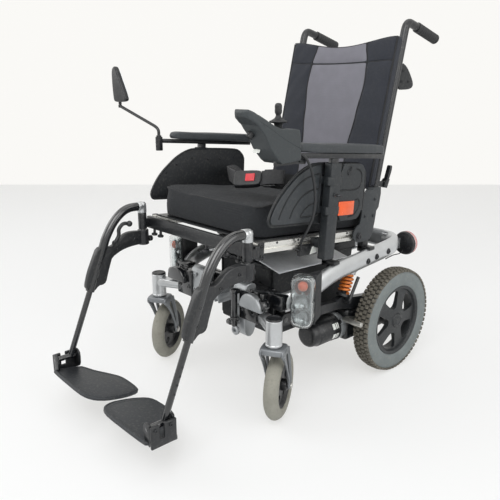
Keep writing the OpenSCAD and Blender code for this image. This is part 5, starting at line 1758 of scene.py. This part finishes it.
@dataclass
class Legrest(Sided):
    """Swing-away legrest: hanger, release lever, sliding foot tube and footplate."""
    x: float = 240.0
    hinge: float = 139.0
    end: Vector = field(default_factory=lambda: Vector((240, -795, 320)))
    way: Vector = field(default_factory=lambda: Vector((0, -0.385, -0.923)))

    @property
    def body(self) -> str:
        """CAD body of the hanger."""
        return "legrest" + self.side.tag

    def build(self) -> None:
        """Builds the legrest."""
        self.hanger()
        self.lever()
        self.foot()
        self.footplate()

    def hanger(self) -> None:
        """Makes the tubes, the cast fairing and the pivot."""
        x = self.x
        bend = self.end - self.way * 146
        tube = Shape()
        tube.tube(rounded([self.end, bend, bend - self.way * 20, (x, -704, 516), (x, -662, 549),
            (x, -611, 549)], 26, 8), 13, 28)
        bore = Shape()
        bore.rod(self.end + self.way * 20, self.end - self.way * 140, 8.6, bevel=0)
        tube.combine(bore)
        self.dress(tube, "legrest_tube", GLOSS_BLACK, "black_frame", "legrest_hanger")
        fairing = Shape()
        outline = [(-678, 471), (-657, 477), (-631, 476), (-600, 471), (-594, 450), (-600, 431),
            (-628, 433), (-660, 431), (-688, 425), (-719, 410), (-726, 392), (-736, 364), (-744, 338),
            (-756, 332), (-768, 333), (-785, 318), (-796, 322), (-807, 330), (-809, 339), (-798, 376),
            (-780, 414), (-764, 446), (-740, 447), (-713, 442)]
        fairing.plate(soft_outline(outline, 1), x - 10, x + 10, Plane.X, 4, 3)
        fairing.combine(self.bore())
        fairing.lathe([(0, 0), (15.4, 0), (17, 1.6), (17, 44), (15.4, 46), (0, 46)], (x, -605, 430),
            (0, 0, 1), 44)
        self.dress(fairing, "legrest_fairing", BLACK_PAINT, "black_frame")
        pivot = Shape()
        pivot.lathe([(0, 0), (13.7, 0), (14, 1), (14, 22), (12.6, 28), (9, 32), (0, 33.6)], (x, -605, 529),
            (0, 0, 1), 44)
        pivot.rod((x, -621, 549), (x, -605, 549), 14, bevel=1)
        pivot.rod((x, -605, 475), (x, -605, 530), 8)
        self.dress(pivot, "legrest_pivot", SILVER_PAINT, "black_frame")
        screws = Shape()
        for y, z in ((-640, 454), (-700, 432), (-764, 400), (-776, 356)):
            screws.screw((x + 10, y, z), (1, 0, 0), 4.6, 3)
            screws.screw((x - 10, y, z), (-1, 0, 0), 4.6, 3)
        screws.rod((216.5, -712, 454), (231, -712, 454), 3)
        screws.lathe([(0, 0), (7, 0), (9, 2), (9, 10), (7, 12), (0, 12)], (x - 6, -590, 446), (0, 1, 0), 14)
        self.dress(screws, "legrest_screws", BOLT_STEEL, "black_frame")

    def bore(self) -> Shape:
        """Makes the cutter for the foot tube's bore."""
        return Shape().rod(self.end + self.way * 24, self.end - self.way * 140, 8.8, bevel=0)

    def lever(self) -> None:
        """Makes the release lever with its ball."""
        x = self.x - 17
        lever = Shape()
        lever.lathe([(3.1, -6), (7, -6), (8, -5), (8, 5.4), (7, 6.4), (3.1, 6.4)], (x, -712, 454),
            (1, 0, 0), 32, closed=True)
        lever.tube(rounded([(x, -709, 460), (x, -697, 476), (x, -699, 494), (x, -682, 510), (x, -662, 505)],
            10, 6), 5.6, 16)
        ball = [(9 * math.sin(math.radians(a)), -9 * math.cos(math.radians(a))) for a in range(0, 181, 15)]
        lever.lathe([(0.0 if r < 1e-6 else r, h) for r, h in ball], (x, -661, 505), (0, 0, 1), 28)
        self.dress(lever, "legrest_release_handle", BLACK_PAINT, "box_plastic", "legrest_lever",
            part="legrest_release")

    def foot(self) -> None:
        """Makes the sliding foot tube and its hinge bar."""
        x = self.x
        tube = Shape()
        tube.rod(self.end + self.way * 196, self.end - self.way * 84, 8.5, bevel=1.2)
        tube.rod((x, -911, self.hinge), (x, -858, self.hinge), 8, bevel=1.2)
        tube.rod((x, -919, self.hinge), (x, -846, self.hinge), 5)
        self.dress(tube, "foot_stem_tube", GLOSS_BLACK, "foot_tube", "footplate_tube", part="foot_stem")
        marks = Shape()
        for i in range(4):
            at = self.end + self.way * (60 + i * 22)
            marks.lathe([(0, 0), (3.4, 0), (3.4, 0.8), (0, 0.8)], at + Vector((8.2, 0, 0)), (1, 0, 0), 20)
        self.dress(marks, "foot_stem_stops", BOLT_STEEL, "foot_tube", part="foot_stem")

    def footplate(self) -> None:
        """Makes the moulded footplate with its raised rim, ears and cheeks."""
        outline = soft_outline([(252, 0), (200, -4), (78, -6), (46, 0), (24, 14), (11, 42), (9, 78),
            (12, 112), (22, 144), (40, 158), (90, 161), (134, 158), (168, 136), (204, 108), (236, 94),
            (252, 84)], 1)
        plate = Shape(turned("X", -11.7, (0, -925, 100)))
        plate.plate(outline, 0, 9, Plane.Z, 3, 4)
        middle = Vector((125, 78))
        rim = [middle + (Vector(p) - middle) * 0.955 for p in outline]
        plate.tube([(p.x, p.y, 8.6) for p in rim + rim[:1]], 1.8, 8)
        inner = [middle + (Vector(p) - middle) * 0.86 for p in outline]
        plate.tube([(p.x, p.y, 8.6) for p in inner + inner[:1]], 0.9, 6)
        self.dress(plate, "footplate_board", FOOTPLATE, "footplate", "footplate", part="foot")
        ears = Shape()
        ear = soft_outline([(226, 106), (252, 92), (252.4, 150), (246, 156), (230, 153), (223, 140)], 1)
        for y in (-918, -853):
            ears.plate(ear, y, y + 6, Plane.Y, 1.6)
        for low, high in (((251.6, -918, 92), (259, -895, 150)), ((251.6, -881, 92), (259, -847, 150)),
                ((251.6, -918, 92), (259, -847, 112))):
            ears.block(low, high, 2.4, 3)
        hole = Shape()
        hole.rod((self.x, -930, self.hinge), (self.x, -820, self.hinge), 5.1, bevel=0)
        ears.combine(hole)
        self.dress(ears, "footplate_hinge", BLACK_PAINT, "footplate", part="foot")
        bolts = Shape()
        bolts.screw((259, -906, self.hinge), (1, 0, 0), 5, 3)
        bolts.screw((259, -864, self.hinge), (1, 0, 0), 5, 3)
        bolts.screw((self.x, -847.2, self.hinge), (0, 1, 0), 7, 4)
        self.dress(bolts, "footplate_bolts", BOLT_STEEL, "footplate", part="foot")


# ---- Cords ----

@dataclass
class Cords:
    """Joystick cable and the leads of the rear lamps."""

    @staticmethod
    def lead(name: str, route: Sequence[Point], diameter: float, body: str, stands_for: Sequence[str] = (),
            side: Side = Side.LEFT, ends: tuple[str, str] | None = None) -> None:
        """Makes one cord along its route.

        Args:
            name: Name of the piece.
            route: Points of its centreline in millimetres.
            diameter: Its diameter in millimetres.
            body: CAD body that it rides on.
            stands_for: CAD nodes that it replaces.
            side: Side of the chair.
            ends: Two bodies that it runs between; when given, it is baked in place instead of attached to a
                body.
        """
        shape = Shape()
        shape.tube(route, diameter / 2, 14)
        made = shape.piece(name, CABLE_BLACK, body, "cable", stands_for, side, rides=ends is None)
        if ends:
            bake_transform(made)

    def build(self) -> None:
        """Builds every cord."""
        route = [(294, -483, 740), (294, -468, 735), (293, -450, 718), (291, -432, 690), (291, -420, 650),
            (290, -415, 610), (286, -418, 570), (277, -426, 538), (264, -429, 514), (252, -425, 500),
            (246, -421, 488.8)]
        self.lead("joystick_lead", rounded(route, 12, 3), 7, "arm_left", ["joystick_cable"],
            ends=("arm_left", "chassis"))
        for side in Side:
            lamp = [(240, 86, 378), (240, 76, 374), (242, 62, 372), (245, 44, 374), (246, 22, 376),
                (246, 0, 374), (246, -20, 371)]
            self.lead("rear_lamp_lead" + side.tag, rounded(lamp, 8, 4), 3.2, "chassis", side=side)


# ---- Studio ----

@dataclass
class Studio:
    """Floor, wall, soft lamps and the camera."""
    turn: float = 47.67
    wall_away: float = 3.6
    white: str = "#fbfaf7"

    @staticmethod
    def seen(tree: bpy.types.NodeTree) -> bpy.types.NodeSocket:
        """A socket that is 1 where the camera looks straight, in a mirror or through glass."""
        rays = node(tree, "LightPath")
        found = rays.outputs["Is Camera Ray"]
        for kind in ("Is Glossy Ray", "Is Transmission Ray"):
            found = node(tree, "Math", {0: found, 1: rays.outputs[kind]}, operation="MAXIMUM").outputs[0]
        return found

    def pale(self, name: str, colour: str, lift: float) -> bpy.types.Material:
        """Makes a pale matt surface that looks bright to the camera but keeps shadows.

        Args:
            name: Name of the material.
            colour: Its colour.
            lift: Share of plain white that the camera sees.

        Returns:
            The material.
        """
        made = bpy.data.materials.new(name)
        made.use_nodes = True
        tree = made.node_tree
        tree.nodes.clear()
        base = Finish.linear(colour)
        mottle = node(tree, "TexNoise", {"Scale": 3.0})
        tint = node(tree, "Mix", data_type="RGBA", inputs={"Factor": mottle.outputs["Fac"],
            "A": base, "B": tuple(c * 0.97 for c in base[:3]) + (1.0,)})
        matt = node(tree, "BsdfDiffuse", {"Color": tint.outputs["Result"]})
        glow = node(tree, "Emission", {"Color": Finish.linear(self.white)})
        share = node(tree, "Math", {0: self.seen(tree), 1: lift}, operation="MULTIPLY")
        mix = node(tree, "MixShader", {"Fac": share.outputs[0], 1: matt.outputs[0], 2: glow.outputs[0]})
        node(tree, "OutputMaterial", {"Surface": mix.outputs[0]})
        return made

    def sweep(self) -> None:
        """Makes the floor and the wall behind the chair."""
        wall = turned("Z", self.turn) @ turned("X", 90, (0, self.wall_away, 0))
        for name, place, colour, lift in (("studio_floor", Matrix.Identity(4), "#f0f2f4", 0.6),
                ("studio_wall", wall, "#f6f1ea", 0.97)):
            part = bmesh.new()
            bmesh.ops.create_grid(part, x_segments=2, y_segments=2, size=7.0, matrix=place)
            mesh = bpy.data.meshes.new(name)
            part.to_mesh(mesh)
            part.free()
            made = bpy.data.objects.new(name, mesh)
            mesh.materials.append(self.pale(name, colour, lift))
            bpy.context.scene.collection.objects.link(made)

    def lamps(self) -> None:
        """Makes the large soft lamps and the world."""
        for name, at, size, power in (("key", (1.6, -2.6, 3.0), 2.2, 66), ("fill", (3.2, 0.0, 1.8),
                2.4, 34), ("front", (-2.4, -2.4, 2.2), 2.4, 34), ("top", (0.0, -0.4, 3.4), 2.6, 18)):
            data = bpy.data.lights.new(name, "AREA")
            data.shape = "SQUARE"
            data.size = size
            data.energy = power
            lamp = bpy.data.objects.new(name, data)
            lamp.location = at
            lamp.rotation_euler = (Vector((0, -0.3, 0.45)) - Vector(at)).to_track_quat("-Z", "Y").to_euler()
            bpy.context.scene.collection.objects.link(lamp)
        world = bpy.data.worlds.new("studio")
        bpy.context.scene.world = world
        world.use_nodes = True
        tree = world.node_tree
        light = tree.nodes["Background"]
        light.inputs["Color"].default_value = (0.95, 0.97, 1.0, 1.0)
        light.inputs["Strength"].default_value = 0.5
        white = node(tree, "Background", {"Color": Finish.linear(self.white)})
        mix = node(tree, "MixShader", {"Fac": self.seen(tree), 1: light.outputs[0], 2: white.outputs[0]})
        tree.links.new(mix.outputs[0], tree.nodes["World Output"].inputs["Surface"])

    def camera(self) -> None:
        """Places the camera."""
        data = bpy.data.cameras.new("camera")
        data.lens = 42.03
        data.sensor_width = 36.0
        view = bpy.data.objects.new("camera", data)
        view.location = (1.2714, -1.5368, 0.8937)
        view.rotation_euler = (math.radians(90 - 15.5), 0, math.radians(self.turn))
        bpy.context.scene.collection.objects.link(view)
        bpy.context.scene.camera = view

    def build(self) -> None:
        """Builds the studio."""
        self.camera()
        self.sweep()
        self.lamps()
        bpy.context.scene.view_settings.view_transform = "Standard"


def main() -> None:
    """Builds the studio and every sub-assembly."""
    logging.basicConfig(level=logging.INFO, format="%(name)s: %(message)s")
    Studio().build()
    Cords().build()
    for side in Side:
        DriveWheel(side).build()
        Castor(side).build()
        SideFrame(side).build()
        DriveUnit(side).build()
        SideGuard(side).build()
        Armrest(side).build()
        BackFrame(side).build()
        Legrest(side).build()
    FrontBeam().build()
    BatteryBay().build()
    SeatFrame().build()
    SeatCushion().build()
    BackCushion().build()
    LapBelt().build()
    JoystickModule().build()
    Mirror().build()


if __name__ == "__main__":
    main()
